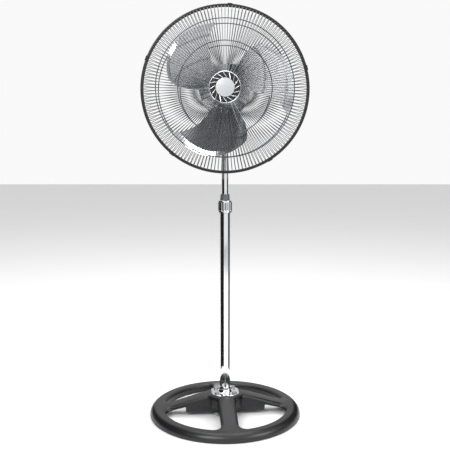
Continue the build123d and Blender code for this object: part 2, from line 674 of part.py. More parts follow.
# ---------------------------------------------------------------- guard
RIM_RING_OFFSET = RIM_WIRE_RADIUS + GAP / 2
RIM_HALF_WIDTH = RIM_RING_OFFSET + RIM_WIRE_RADIUS
RIM_INNER = GUARD_RADIUS - RIM_WALL
RIM_RING_RADIUS = RIM_INNER - RIM_WIRE_RADIUS
WIRE_END_RADIUS = RIM_RING_RADIUS - RIM_WIRE_RADIUS - WIRE_RADIUS + BITE


def wire_height(start, shoulder, face, radius):
    """Y of a wire's straight run where it passes a radius."""
    share = (radius - start) / (shoulder[0] - start)
    return face + share * (shoulder[1] - face)


def guard_wire(start, shoulder, face, bend, end):
    """One spoke wire of the guard: straight run, two bends, and a short run along the rim."""
    stations = [(start, face), shoulder, (WIRE_END_RADIUS, bend), (WIRE_END_RADIUS, end)]
    path = FilletPolyline(*[(r, y, AXIS_HEIGHT) for r, y in stations], radius=GUARD_BEND_RADIUS)
    return sweep(Plane(origin=path @ 0, z_dir=path % 0) * Circle(WIRE_RADIUS), path)


FRONT_RING_GAP = WIRE_RADIUS + RING_WIRE_RADIUS - BITE
REAR_FACE = MOTOR_FACE - PLATE_THICKNESS - WIRE_RADIUS + BITE
WIRE_STEP = 360 / WIRES


def make_front_grille_wires():
    """Spoke wires of the front grille, each its own length of wire."""
    wire = guard_wire(FRONT_WIRE_START, FRONT_SHOULDER, FRONT_FACE, FRONT_BEND,
                      RIM_PLANE - RIM_RING_OFFSET)
    return [around_head(wire, WIRE_STEP * k) for k in range(WIRES)]


def make_rear_grille_wires():
    """Spoke wires of the rear grille."""
    wire = guard_wire(REAR_WIRE_START, REAR_SHOULDER, REAR_FACE, REAR_BEND, RIM_PLANE + RIM_RING_OFFSET)
    return [around_head(wire, WIRE_STEP * k) for k in range(WIRES)]


def make_front_grille_rings():
    """Two hoops behind the front wires and the rim hoop."""
    rings = [head_ring(RIM_RING_RADIUS, RIM_PLANE - RIM_RING_OFFSET, RIM_WIRE_RADIUS)]
    for radius in GUARD_RING_RADII:
        height = wire_height(FRONT_WIRE_START, FRONT_SHOULDER, FRONT_FACE, radius)
        rings.append(head_ring(radius, height + FRONT_RING_GAP, RING_WIRE_RADIUS))
    return rings


def make_rear_grille_rings():
    """Two hoops in front of the rear wires and the rim hoop."""
    rings = [head_ring(RIM_RING_RADIUS, RIM_PLANE + RIM_RING_OFFSET, RIM_WIRE_RADIUS)]
    for radius in GUARD_RING_RADII:
        height = wire_height(REAR_WIRE_START, REAR_SHOULDER, REAR_FACE, radius)
        rings.append(head_ring(radius, height - FRONT_RING_GAP, RING_WIRE_RADIUS))
    return rings


def make_grille_rim():
    """Channel band that closes round both rim hoops, split at the bottom for its screw."""
    low = RIM_PLANE - RIM_HALF_WIDTH
    high = RIM_PLANE + RIM_HALF_WIDTH
    outline = Polyline((RIM_INNER - RIM_LIP, low - RIM_WALL), (GUARD_RADIUS, low - RIM_WALL),
                       (GUARD_RADIUS, high + RIM_WALL), (RIM_INNER - RIM_LIP, high + RIM_WALL),
                       (RIM_INNER - RIM_LIP, high), (RIM_INNER, high), (RIM_INNER, low),
                       (RIM_INNER - RIM_LIP, low), close=True)
    return head_revolve(outline)


def make_rim_clips():
    """Sprung clips over the rim, the first at the top."""
    half = RIM_HALF_WIDTH + RIM_WALL
    outer = Rectangle(GUARD_CLIP_DEPTH + CLIP_WALL, 2 * (half + CLIP_WALL),
                      align=(Align.MAX, Align.CENTER))
    inner = Rectangle(GUARD_CLIP_DEPTH, 2 * half, align=(Align.MAX, Align.CENTER))
    section = Pos(GUARD_RADIUS + CLIP_WALL, RIM_PLANE) * outer - Pos(GUARD_RADIUS, RIM_PLANE) * inner
    span = degrees(CLIP_LENGTH / GUARD_RADIUS)
    clip = Pos(0, 0, AXIS_HEIGHT) * Rot(0, span / 2, 0) * revolve(section, Axis.Y, span)
    return [around_head(clip, 90 + 360 / RIM_CLIPS * k) for k in range(RIM_CLIPS)]


def make_rear_grille_plate():
    """Pressed plate that carries the rear wires on the motor."""
    plate = head_tube(REAR_PLATE_RADIUS, BOSS_RADIUS + GAP, MOTOR_FACE - PLATE_THICKNESS, MOTOR_FACE)
    front = MOTOR_FACE - PLATE_THICKNESS - OVERCUT
    for angle in FOUR_BOLTS:
        x, z = polar(PLATE_SCREW_CIRCLE, angle)
        plate -= head_rod(SCREW_RADIUS + FIT, front, MOTOR_FACE + OVERCUT, x, z)
        x, z = polar(MOTOR_BOLT_CIRCLE, angle)
        plate -= head_rod(MOTOR_BOLT_HEAD + GAP, front, MOTOR_FACE + OVERCUT, x, z)
    return plate


def make_grille_screws():
    """Screws that hold the rear plate on the motor."""
    screws = []
    for angle in FOUR_BOLTS:
        x, z = polar(PLATE_SCREW_CIRCLE, angle)
        screw = cross_screw(SCREW_RADIUS, SCREW_HEAD, PLATE_THICKNESS + BELL_WALL, SCREW_DOME)
        screws.append(Pos(x, MOTOR_FACE - PLATE_THICKNESS, AXIS_HEIGHT + z) * Rot(90, 0, 0) * screw)
    return screws


# ---------------------------------------------------------------- badge
BADGE_SEAT = FRONT_FACE - WIRE_RADIUS
BADGE_FRONT = BADGE_SEAT - BADGE_DEPTH
BADGE_INNER = BADGE_RADIUS - BADGE_RIM_WIDTH
BACK_PLATE_FACE = wire_height(FRONT_WIRE_START, FRONT_SHOULDER, FRONT_FACE, BADGE_RADIUS) + WIRE_RADIUS


def make_badge_rim():
    """Bright ring round the badge."""
    rim = head_tube(BADGE_RADIUS, BADGE_INNER, BADGE_FRONT, BADGE_SEAT)
    front = rim.edges().filter_by(GeomType.CIRCLE).group_by(Axis.Y)[0]
    return fillet(front, BADGE_RIM_WIDTH * 0.4)


def make_badge_louvre():
    """Dark dished ring with slanted vanes between the rim and the disc."""
    floor = head_tube(BADGE_INNER - FIT, BADGE_DISC_RADIUS - BADGE_LEDGE, BADGE_SEAT - BADGE_FLOOR,
                      BADGE_SEAT)
    length = BADGE_INNER - BADGE_DISC_RADIUS
    middle = (BADGE_INNER + BADGE_DISC_RADIUS) / 2
    vane = Rot(0, 0, VANE_SLANT) * Rectangle(length / cos(radians(VANE_SLANT)) + 2, VANE_WALL)
    ring = Circle(BADGE_INNER - FIT) - Circle(BADGE_DISC_RADIUS + FIT)
    for k in range(BADGE_VANES):
        turned = Rot(0, 0, 360 / BADGE_VANES * k) * Pos(middle, 0) * vane
        floor += axial(turned & ring, BADGE_FRONT + 2, BADGE_SEAT - 1)
    return floor


def make_badge_disc():
    """Plain domed disc in the middle of the badge."""
    disc = head_rod(BADGE_DISC_RADIUS, BADGE_FRONT + 1, BADGE_SEAT - BADGE_FLOOR)
    disc += head_rod(BADGE_DISC_RADIUS - BADGE_LEDGE - FIT, BADGE_SEAT - BADGE_FLOOR, BADGE_SEAT)
    front = disc.edges().filter_by(GeomType.CIRCLE).group_by(Axis.Y)[0]
    disc = fillet(front, 1.2)
    for side in (-1, 1):
        disc -= head_rod(BADGE_SCREW_RADIUS + FIT, BADGE_SEAT - 4, BADGE_SEAT + OVERCUT,
                         side * BADGE_SCREW_OFFSET)
    return disc


def make_badge_back():
    """Backing plate behind the front wires."""
    plate = head_rod(BACK_PLATE_RADIUS, BACK_PLATE_FACE, BACK_PLATE_FACE + PLATE_THICKNESS)
    for side in (-1, 1):
        plate -= head_rod(BADGE_SCREW_RADIUS + FIT, BACK_PLATE_FACE - OVERCUT, BACK_PLATE_FACE + 5,
                          side * BADGE_SCREW_OFFSET)
    return plate


def make_badge_screws():
    """Screws from the backing plate into the badge."""
    rear = BACK_PLATE_FACE + PLATE_THICKNESS
    screw = cross_screw(BADGE_SCREW_RADIUS, SCREW_HEAD - 0.5, rear - BADGE_SEAT + 3.5, 1.5)
    return [Pos(side * BADGE_SCREW_OFFSET, rear, AXIS_HEIGHT) * Rot(-90, 0, 0) * screw for side in (-1,
                                                                                                    1)]


# ---------------------------------------------------------------- blades and hub
RIVET_CENTRE = TIP_ANGLE + ROOT_ANGLE
CAMBER_HEIGHT = sqrt(CAMBER_RADIUS ** 2 - CAMBER_OFFSET ** 2)


def cambered(inner, outer, near, far):
    """Part of a curved sheet between two radii of its camber, for a blade pointing along +X."""
    section = Pos(CAMBER_OFFSET, CAMBER_HEIGHT) * (Circle(outer) - Circle(inner))
    section &= Pos(0, CAMBER_HEIGHT / 2 - CAMBER_RADIUS / 2) * Rectangle(2 * BLADE_TIP_RADIUS,
                                                                         CAMBER_RADIUS)
    plane = Plane(origin=(near, BLADE_PLANE, AXIS_HEIGHT), x_dir=(0, 0, -1), z_dir=(-1, 0, 0))
    return extrude(plane * section, near - far)


def blade_point(radius, behind_tip):
    """Plan position on a blade whose root points along +X; angles run back from its leading tip."""
    return polar(radius, behind_tip - ROOT_ANGLE)


def blade_plan():
    """Outline of one blade as seen from the front."""
    tip = blade_point(BLADE_TIP_RADIUS, 0)
    corner = blade_point(BLADE_TIP_RADIUS - 4, CORNER_ANGLE)
    trailing = blade_point(ARM_RADIUS - 6, TRAILING_ROOT)
    leading = blade_point(ARM_RADIUS - 6, LEADING_ROOT)
    outline = ThreePointArc(tip, blade_point(BLADE_TIP_RADIUS + 3, CORNER_ANGLE / 2), corner)
    outline += ThreePointArc(corner, blade_point(BLADE_TIP_RADIUS * 0.74, 71), trailing)
    outline += ThreePointArc(trailing, blade_point(ROOT_RADIUS, (LEADING_ROOT + TRAILING_ROOT) / 2),
                             leading)
    outline += ThreePointArc(leading, blade_point(BLADE_TIP_RADIUS * 0.68, 12), tip)
    plan = make_face(outline)
    spot = Vector(*corner)
    corners = plan.vertices().sort_by(lambda v: (Vector(v.X, v.Y) - spot).length)
    return fillet(corners[0], CORNER_ROUND)


def place_rivets(maker):
    """Puts a part made on +Z at each rivet of a blade pointing along +X, square to the sheet."""
    placed = []
    for k in (-1, 0, 1):
        x, z = polar(RIVET_CIRCLE, RIVET_STEP * k)
        lead = CAMBER_OFFSET + z
        slope = degrees(asin(lead / CAMBER_RADIUS))
        depth = CAMBER_HEIGHT - sqrt(CAMBER_RADIUS ** 2 - lead ** 2)
        seat = Plane(origin=(x, BLADE_PLANE - depth, AXIS_HEIGHT + z), x_dir=(1, 0, 0), z_dir=(0, -1, 0))
        placed.append(seat.location * Rot(slope, 0, 0) * maker())
    return placed


def rivet_hole():
    """Cutter for one rivet through blade and arm."""
    return rod(RIVET_RADIUS + FIT, -3 * ARM_THICKNESS, 3 * ARM_THICKNESS)


def rivet():
    """Rivet with a head on both faces."""
    back = -BLADE_SHEET - ARM_THICKNESS
    front_head = rod(RIVET_HEAD, FIT, RIVET_RISE)
    front_head = fillet(front_head.edges().group_by(Axis.Z)[-1], 1)
    return rod(RIVET_RADIUS, back - OVERCUT, 1) + front_head + rod(RIVET_HEAD, back - RIVET_RISE,
                                                                   back - FIT)


def blade_turn(number):
    """Angle of a blade's root."""
    return RIVET_CENTRE + 360 / BLADES * number


def make_fan_blade(number):
    """One pressed blade."""
    blade = cambered(CAMBER_RADIUS, CAMBER_RADIUS + BLADE_SHEET, ROOT_RADIUS - 10, BLADE_TIP_RADIUS + 10)
    blade &= axial(blade_plan(), BLADE_PLANE - 80, BLADE_PLANE + 80)
    for hole in place_rivets(rivet_hole):
        blade -= hole
    return around_head(blade, blade_turn(number))


def make_blade_hub():
    """Cup with a boss on the shaft and three curved arms behind the blades."""
    front = BLADE_PLANE - CUP_HALF_DEPTH
    rear = BLADE_PLANE + CUP_HALF_DEPTH
    cup = head_rod(CUP_RADIUS, front, rear)
    cup = fillet(cup.edges().filter_by(GeomType.CIRCLE).group_by(Axis.Y)[0], 6)
    cup -= head_rod(CUP_RADIUS - ARM_THICKNESS, front + ARM_THICKNESS, rear + OVERCUT)
    cup += head_rod(BOSS_RADIUS, front, rear)
    inner = CAMBER_RADIUS + BLADE_SHEET
    sheet = cambered(inner, inner + ARM_THICKNESS, 0, ARM_RADIUS + 5)
    span = ARM_SPAN / 2
    sector = Polyline((0, 0), polar(2 * ARM_RADIUS, -span), polar(2 * ARM_RADIUS, span), close=True)
    plan = make_face(sector) & (Circle(ARM_RADIUS) - Circle(CUP_RADIUS - ARM_THICKNESS / 2))
    arm = sheet & axial(plan, BLADE_PLANE - 80, BLADE_PLANE + 80)
    for hole in place_rivets(rivet_hole):
        arm -= hole
    for number in range(BLADES):
        cup += around_head(arm, blade_turn(number))
    return cup - head_rod(SHAFT_RADIUS + FIT, front - OVERCUT, rear + OVERCUT)


def make_blade_rivets():
    """Three rivets through each blade and its arm."""
    return [around_head(r, blade_turn(n)) for n in range(BLADES) for r in place_rivets(rivet)]


SPINNER_SEAT = BLADE_PLANE - CUP_HALF_DEPTH


def make_spinner_nut():
    """Domed nut that holds the hub on the shaft."""
    nut = head_rod(BOSS_RADIUS, SPINNER_SEAT - SPINNER_LENGTH, SPINNER_SEAT)
    nut = fillet(nut.edges().filter_by(GeomType.CIRCLE).group_by(Axis.Y)[0], SPINNER_CROWN)
    return nut - head_rod(SHAFT_RADIUS + FIT, SPINNER_SEAT - SPINNER_LENGTH + SPINNER_CROWN,
                          SPINNER_SEAT + OVERCUT)


def make_drive_collar():
    """Collar behind the hub that sets its place on the shaft."""
    rear = BLADE_PLANE + CUP_HALF_DEPTH
    return head_tube(BOSS_RADIUS - 3, SHAFT_RADIUS + FIT, rear, rear + DRIVE_COLLAR_LENGTH)


# ---------------------------------------------------------------- motor
STATOR_REAR = STATOR_FRONT + STATOR_LENGTH
BUSH_BORE = SHAFT_RADIUS + RUNNING


def make_motor_shaft():
    """Shaft from the spinner nut to the worm."""
    shaft = head_rod(SHAFT_RADIUS, SHAFT_FRONT, SHAFT_REAR)
    return shaft + head_rod(WORM_RADIUS, WORM_FRONT, SHAFT_REAR - 2)


def make_rotor_core():
    """Squirrel-cage rotor on the shaft."""
    return head_tube(ROTOR_RADIUS, SHAFT_RADIUS + FIT, STATOR_FRONT, STATOR_REAR)


def make_stator_core():
    """Laminated ring with slots for the windings."""
    plan = Circle(STATOR_RADIUS) - Circle(ROTOR_RADIUS + AIR_GAP)
    for k in range(STATOR_SLOTS):
        slot = Pos((ROTOR_RADIUS + STATOR_RADIUS) / 2 - 2, 0) * SlotOverall(13, 7)
        plan -= Rot(0, 0, 360 / STATOR_SLOTS * (k + 0.5)) * slot
    for angle in FOUR_BOLTS:
        plan -= Pos(*polar(MOTOR_BOLT_CIRCLE, angle)) * Circle(MOTOR_BOLT_RADIUS + FIT)
    return axial(plan, STATOR_FRONT, STATOR_REAR)


def make_stator_windings():
    """Two end turns of the windings, one at each face of the stator."""
    middle = (ROTOR_RADIUS + STATOR_RADIUS) / 2 - WINDING_INSET
    outline = Pos(middle, 0) * RectangleRounded(10, WINDING_LENGTH, 3)
    winding = Pos(0, 0, AXIS_HEIGHT) * revolve(outline, Axis.Y)
    front, rear = STATOR_FRONT - WINDING_LENGTH / 2, STATOR_REAR + WINDING_LENGTH / 2
    return [Pos(0, front, 0) * winding, Pos(0, rear, 0) * winding]


def bell(face, open_end, inward):
    """Cast motor half: a cup round one half of the stator with a bush boss and four bolt holes."""
    seat = open_end - inward * BELL_REGISTER
    cup = head_rod(BELL_RADIUS, min(face, open_end), max(face, open_end))
    cup = fillet(cup.edges().filter_by(GeomType.CIRCLE).filter_by_position(Axis.Y, face - 0.1,
                                                                           face + 0.1), 4)
    hollow = face + inward * BELL_WALL
    cup -= head_rod(STATOR_RADIUS - OVERCUT, min(hollow, open_end), max(hollow, open_end))
    cup -= head_rod(STATOR_RADIUS + FIT, min(seat, open_end), max(seat, open_end))
    end = face + inward * BUSH_LENGTH
    cup += head_rod(BOSS_RADIUS, min(face, end), max(face, end))
    for angle in FOUR_BOLTS:
        x, z = polar(MOTOR_BOLT_CIRCLE, angle)
        post = head_rod(MOTOR_BOLT_RADIUS + 3, min(face + inward, seat), max(face + inward, seat), x, z)
        cup += post
        cup -= head_rod(MOTOR_BOLT_RADIUS + FIT, min(face, seat) - OVERCUT, max(face, seat) + OVERCUT,
                        x, z)
    return cup - head_rod(BUSH_RADIUS + FIT, min(face, end) - OVERCUT, max(face, end) + OVERCUT)


def make_motor_front_bell():
    """Front half of the motor's body."""
    case = bell(MOTOR_FACE, STATOR_FRONT + BELL_REGISTER, 1)
    for angle in FOUR_BOLTS:
        x, z = polar(PLATE_SCREW_CIRCLE, angle)
        case -= head_rod(SCREW_RADIUS + FIT, MOTOR_FACE - OVERCUT, MOTOR_FACE + BELL_WALL + OVERCUT, x, z)
    return case


def make_motor_rear_bell():
    """Rear half of the motor's body."""
    return bell(BELL_REAR, STATOR_REAR - BELL_REGISTER, -1)


def make_front_bearing():
    """Bush at the front of the motor."""
    return head_tube(BUSH_RADIUS, BUSH_BORE, MOTOR_FACE, MOTOR_FACE + BUSH_LENGTH)


def make_rear_bearing():
    """Bush at the rear of the motor."""
    return head_tube(BUSH_RADIUS, BUSH_BORE, BELL_REAR - BUSH_LENGTH, BELL_REAR)


def make_motor_bolts():
    """Long bolts that clamp the stator between the two bells."""
    length = BELL_REAR - MOTOR_FACE
    bolts = []
    for angle in FOUR_BOLTS:
        x, z = polar(MOTOR_BOLT_CIRCLE, angle)
        bolt = cross_screw(MOTOR_BOLT_RADIUS, MOTOR_BOLT_HEAD, length, 1)
        bolts.append(Pos(x, MOTOR_FACE, AXIS_HEIGHT + z) * Rot(90, 0, 0) * bolt)
    return bolts


# ---------------------------------------------------------------- gearbox and swing drive
CRANK_AXIS = (0.0, CRANK_SETBACK)
MESH = GEAR_MODULE * (CRANK_TEETH + PINION_TEETH) / 2 + GEAR_PLAY
WHEEL_TIP = GEAR_MODULE * WHEEL_TEETH / 2 + 0.75 * GEAR_MODULE
ARBOR_X = WORM_RADIUS + GAP + WHEEL_TIP
ARBOR = (ARBOR_X, CRANK_SETBACK - sqrt(MESH ** 2 - ARBOR_X ** 2))
FLOOR_TOP = GEARBOX_FLOOR + GEARBOX_WALL
GEAR_BOTTOM = FLOOR_TOP + 5
CRANK_TOP = GEARBOX_FLOOR - GAP


def make_gearbox_case():
    """Box behind the motor with the swing bearing in its floor."""
    depth = GEARBOX_REAR - BELL_REAR
    height = GEARBOX_TOP - GEARBOX_FLOOR
    corner = (Align.CENTER, Align.MIN, Align.MIN)
    case = Pos(0, BELL_REAR, GEARBOX_FLOOR) * Box(2 * GEARBOX_HALF_WIDTH, depth, height, align=corner)
    case = fillet(case.edges().filter_by(Axis.Z), GEARBOX_CORNER)
    wall = GEARBOX_WALL
    room = Box(2 * (GEARBOX_HALF_WIDTH - wall), depth - 2 * wall, height - 2 * wall, align=corner)
    case -= Pos(0, BELL_REAR + wall, GEARBOX_FLOOR + wall) * room
    case += rod(BOSS_RADIUS, GEARBOX_FLOOR, PIVOT_TOP - CLIP_DROP - CLIP_THICKNESS)
    case += rod(BUSH_RADIUS, GEARBOX_FLOOR, GEAR_BOTTOM - GAP, *CRANK_AXIS)
    case += rod(BUSH_RADIUS - 1, GEARBOX_FLOOR, GEAR_BOTTOM - GAP, *ARBOR)
    case -= rod(PIVOT_RADIUS + RUNNING, GEARBOX_FLOOR - OVERCUT, PIVOT_TOP)
    case -= rod(SHAFT_RADIUS + RUNNING, GEARBOX_FLOOR - OVERCUT, GEAR_BOTTOM, *CRANK_AXIS)
    case -= rod(ARBOR_RADIUS + RUNNING, FLOOR_TOP - OVERCUT, GEAR_BOTTOM, *ARBOR)
    case -= rod(SPINDLE_RADIUS + RUNNING, GEARBOX_TOP - wall - OVERCUT, GEARBOX_TOP + OVERCUT, *ARBOR)
    case -= head_rod(SHAFT_RADIUS + OVERCUT, BELL_REAR - OVERCUT, BELL_REAR + wall + OVERCUT)
    for side in (-1, 1):
        case += head_rod(SCREW_HEAD + 1, GEARBOX_REAR - 1, CASING_REAR - CASING_WALL,
                         side * COVER_SCREW_X, COVER_SCREW_Z)
        case -= head_rod(SCREW_RADIUS + FIT, GEARBOX_REAR, CASING_REAR, side * COVER_SCREW_X,
                         COVER_SCREW_Z)
    return case


def make_worm_wheel():
    """Worm wheel, arbor and pinion in one piece."""
    low = AXIS_HEIGHT - WHEEL_WIDTH / 2
    wheel = Pos(0, 0, low) * gear(WHEEL_TEETH, WHEEL_WIDTH)
    wheel += rod(BUSH_RADIUS - 1, low - WHEEL_BOSS, low + WHEEL_WIDTH + WHEEL_BOSS)
    wheel += rod(ARBOR_RADIUS, FLOOR_TOP, low)
    wheel += Pos(0, 0, GEAR_BOTTOM) * Rot(0, 0, pinion_phase()) * gear(PINION_TEETH, GEAR_WIDTH + 1)
    top = low + WHEEL_WIDTH + WHEEL_BOSS
    wheel -= rod(SPINDLE_RADIUS + RUNNING, top - SOCKET_DEPTH, top + OVERCUT)
    return Pos(*ARBOR) * wheel


def mesh_angle():
    """Direction from the crank's axis to the arbor, in degrees."""
    return degrees(atan2(ARBOR[1] - CRANK_SETBACK, ARBOR[0]))


def pinion_phase():
    """Turns a tooth of the pinion to the crank gear's axis."""
    return mesh_angle() + 180


def make_crank_gear():
    """Crank gear above the gearbox floor with the crank arm below it."""
    phase = mesh_angle() + 180 / CRANK_TEETH
    wheel = Pos(0, 0, GEAR_BOTTOM) * Rot(0, 0, phase) * gear(CRANK_TEETH, GEAR_WIDTH)
    wheel = Pos(*CRANK_AXIS) * wheel
    pin = crank_position()
    wheel += rod(SHAFT_RADIUS, CRANK_BOTTOM, GEAR_BOTTOM + 1, *CRANK_AXIS)
    ends = [Pos(*CRANK_AXIS) * Circle(BUSH_RADIUS - 1), Pos(pin.X, pin.Y) * Circle(CRANK_PIN_RADIUS + 2)]
    arm = make_hull([edge for end in ends for edge in end.edges()])
    wheel += extrude(Pos(0, 0, CRANK_BOTTOM) * arm, CRANK_TOP - CRANK_BOTTOM)
    return wheel + rod(CRANK_PIN_RADIUS, LINK_TOP + GAP, CRANK_BOTTOM, pin.X, pin.Y)


# ---------------------------------------------------------------- casing and controls
CASING_FACE = CASING_REAR - CASING_WALL


def make_rear_cover():
    """Round casing over the motor and gearbox, open in front, with a way out below for the neck."""
    taper = CASING_REAR - CASING_TAPER
    outside = Polyline((0, CASING_FRONT), (CASING_RADIUS, CASING_FRONT),
                       (CASING_RADIUS - CASING_DRAFT, taper))
    outside += ThreePointArc((CASING_RADIUS - CASING_DRAFT, taper), (CASING_RADIUS - 8, CASING_REAR - 10),
                             (CASING_REAR_RADIUS, CASING_REAR))
    outside += Polyline((CASING_REAR_RADIUS, CASING_REAR), (0, CASING_REAR), (0, CASING_FRONT))
    wall = CASING_WALL
    inside = Polyline((0, CASING_FRONT - 1), (CASING_RADIUS - wall, CASING_FRONT - 1),
                      (CASING_RADIUS - CASING_DRAFT - wall, taper))
    inside += ThreePointArc((CASING_RADIUS - CASING_DRAFT - wall, taper),
                            (CASING_RADIUS - 8 - wall, CASING_REAR - 10 - wall),
                            (CASING_REAR_RADIUS - wall, CASING_REAR - wall))
    inside += Polyline((CASING_REAR_RADIUS - wall, CASING_REAR - wall), (0, CASING_REAR - wall),
                       (0, CASING_FRONT - 1))
    cover = head_revolve(outside) - head_revolve(inside)
    depth = CASING_REAR - CASING_WALL - BELL_REAR + OPENING_LEAD
    opening = Box(2 * CASING_OPENING, depth, CASING_RADIUS, align=(Align.CENTER, Align.MIN, Align.MAX))
    cover -= Pos(0, BELL_REAR - OPENING_LEAD, GEARBOX_FLOOR + OPENING_RISE) * opening
    cover -= rod(SPINDLE_RADIUS + 1.5, AXIS_HEIGHT, AXIS_HEIGHT + CASING_RADIUS + 5, *ARBOR)
    for side in (-1, 1):
        cover -= head_rod(SCREW_RADIUS + FIT, CASING_FACE - OVERCUT, CASING_REAR + OVERCUT,
                          side * COVER_SCREW_X, COVER_SCREW_Z)
    cover -= head_rod(GLAND_RADIUS + FIT, CASING_FACE - OVERCUT, CASING_REAR + OVERCUT, 0, -GLAND_DROP)
    cover -= head_rod(BUSH_RADIUS - 3, CASING_FACE - OVERCUT, CASING_REAR + OVERCUT, 0, SWITCH_HEIGHT)
    return cover + casing_posts()


def casing_posts():
    """Ribs inside the casing that rest on the front bell."""
    ribs = None
    reach = CASING_RADIUS - CASING_WALL / 2 - BELL_RADIUS
    for angle in FOUR_BOLTS:
        rib = axial(Pos(BELL_RADIUS + reach / 2, 0) * Rectangle(reach, CASING_RIB), CASING_FRONT,
                    CASING_FRONT + CASING_RIB_LENGTH)
        rib = around_head(rib, angle)
        ribs = rib if ribs is None else ribs + rib
    return ribs


def make_cover_screws():
    """Screws through the casing's back into the gearbox."""
    screws = []
    for side in (-1, 1):
        screw = cross_screw(SCREW_RADIUS, SCREW_HEAD, 10, SCREW_DOME)
        place = Pos(side * COVER_SCREW_X, CASING_REAR, AXIS_HEIGHT + COVER_SCREW_Z)
        screws.append(place * Rot(-90, 0, 0) * screw)
    return screws


def make_capacitor():
    """Motor capacitor on the gearbox wall."""
    block = fillet(Box(*CAPACITOR_SIZE).edges().filter_by(Axis.X), 2)
    y, z = CAPACITOR_PLACE
    return Pos(-GEARBOX_HALF_WIDTH - CAPACITOR_SIZE[0] / 2, y, AXIS_HEIGHT + z) * block


def make_cable_gland():
    """Bush in the casing's back where the supply lead enters."""
    gland = head_tube(GLAND_RADIUS, GLAND_RADIUS - GLAND_WALL, CASING_FACE - 2,
                      CASING_REAR + GLAND_LENGTH, 0, -GLAND_DROP)
    bore = GLAND_RADIUS - GLAND_WALL
    return gland + head_tube(GLAND_RADIUS + 2.5, bore, CASING_REAR, CASING_REAR + 2.5, 0, -GLAND_DROP)


def make_clutch_knob():
    """Pull knob on the casing's top with its spindle into the worm wheel."""
    top = CLUTCH_KNOB_BOTTOM + CLUTCH_KNOB_HEIGHT
    knob = rod(CLUTCH_KNOB_RADIUS, CLUTCH_KNOB_BOTTOM, top)
    knob = fillet(knob.edges().filter_by(GeomType.CIRCLE), 2)
    wheel_top = AXIS_HEIGHT + WHEEL_WIDTH / 2 + WHEEL_BOSS
    knob += rod(SPINDLE_RADIUS, wheel_top - SOCKET_DEPTH + GAP, CLUTCH_KNOB_BOTTOM + 1)
    return Pos(*ARBOR) * knob


def make_speed_switch():
    """Rotary switch inside the casing's back, with a bush through the wall."""
    size = SWITCH_SIZE
    block = Pos(0, CASING_FACE - size / 2, AXIS_HEIGHT + SWITCH_HEIGHT) * Box(size, size, size)
    block += head_rod(BUSH_RADIUS - 3 - FIT, CASING_FACE - 1, CASING_REAR + 1, 0, SWITCH_HEIGHT)
    return block - head_rod(SPINDLE_RADIUS + RUNNING, CASING_FACE - 12, CASING_REAR + 2, 0, SWITCH_HEIGHT)


def make_speed_knob():
    """Pointer knob on the switch's spindle."""
    front = CASING_REAR + 1 + GAP
    knob = head_rod(SPEED_KNOB_RADIUS, front, front + SPEED_KNOB_LENGTH, 0, SWITCH_HEIGHT)
    knob = fillet(knob.edges().filter_by(GeomType.CIRCLE).group_by(Axis.Y)[-1], 2)
    for side in (-1, 1):
        cheek = Pos(side * (SPEED_KNOB_RADIUS - 1), front + 4,
                    AXIS_HEIGHT + SWITCH_HEIGHT - SPEED_KNOB_RADIUS)
        knob -= cheek * Box(SPEED_KNOB_RADIUS, SPEED_KNOB_LENGTH, 2 * SPEED_KNOB_RADIUS,
                            align=(Align.CENTER, Align.MIN, Align.MIN))
    return knob + head_rod(SPINDLE_RADIUS, CASING_FACE - 11, front + OVERCUT, 0, SWITCH_HEIGHT)


# ---------------------------------------------------------------- output
PIECES = {
    "base_shell": make_base_shell,
    "base_feet": make_base_feet,
    "base_weight": make_base_weight,
    "pole_flange": make_pole_flange,
    "flange_bolts": make_flange_bolts,
    "flange_nuts": make_flange_nuts,
    "outer_tube": make_outer_tube,
    "tube_foot_screw": make_tube_foot_screw,
    "collar_sleeve": make_collar_sleeve,
    "grip_collet": make_grip_collet,
    "height_nut": make_height_nut,
    "inner_tube": make_inner_tube,
    "tube_stop": make_tube_stop,
    "neck_socket": make_neck_socket,
    "neck_clamp_screw": make_neck_clamp_screw,
    "tilt_bolt": make_tilt_bolt,
    "tilt_knob": make_tilt_knob,
    "tilt_knuckle": make_tilt_knuckle,
    "pivot_clip": make_pivot_clip,
    "link_pin": make_link_pin,
    "swing_link": make_swing_link,
    "front_grille_wires": make_front_grille_wires,
    "rear_grille_wires": make_rear_grille_wires,
    "front_grille_rings": make_front_grille_rings,
    "rear_grille_rings": make_rear_grille_rings,
    "rear_grille_plate": make_rear_grille_plate,
    "grille_screws": make_grille_screws,
    "grille_rim": make_grille_rim,
    "rim_clips": make_rim_clips,
    "badge_rim": make_badge_rim,
    "badge_louvre": make_badge_louvre,
    "badge_disc": make_badge_disc,
    "badge_back": make_badge_back,
    "badge_screws": make_badge_screws,
    "blade_hub": make_blade_hub,
    "blade_rivets": make_blade_rivets,
    "spinner_nut": make_spinner_nut,
    "drive_collar": make_drive_collar,
    "motor_shaft": make_motor_shaft,
    "rotor_core": make_rotor_core,
    "stator_core": make_stator_core,
    "stator_windings": make_stator_windings,
    "motor_front_bell": make_motor_front_bell,
    "motor_rear_bell": make_motor_rear_bell,
    "front_bearing": make_front_bearing,
    "rear_bearing": make_rear_bearing,
    "motor_bolts": make_motor_bolts,
    "gearbox_case": make_gearbox_case,
    "worm_wheel": make_worm_wheel,
    "crank_gear": make_crank_gear,
    "rear_cover": make_rear_cover,
    "cover_screws": make_cover_screws,
    "capacitor": make_capacitor,
    "cable_gland": make_cable_gland,
    "clutch_knob": make_clutch_knob,
    "speed_switch": make_speed_switch,
    "speed_knob": make_speed_knob,
}
BASE_NODES = ("base_shell", "base_feet", "base_weight", "pole_flange", "flange_bolts", "flange_nuts",
              "outer_tube",
              "tube_foot_screw")

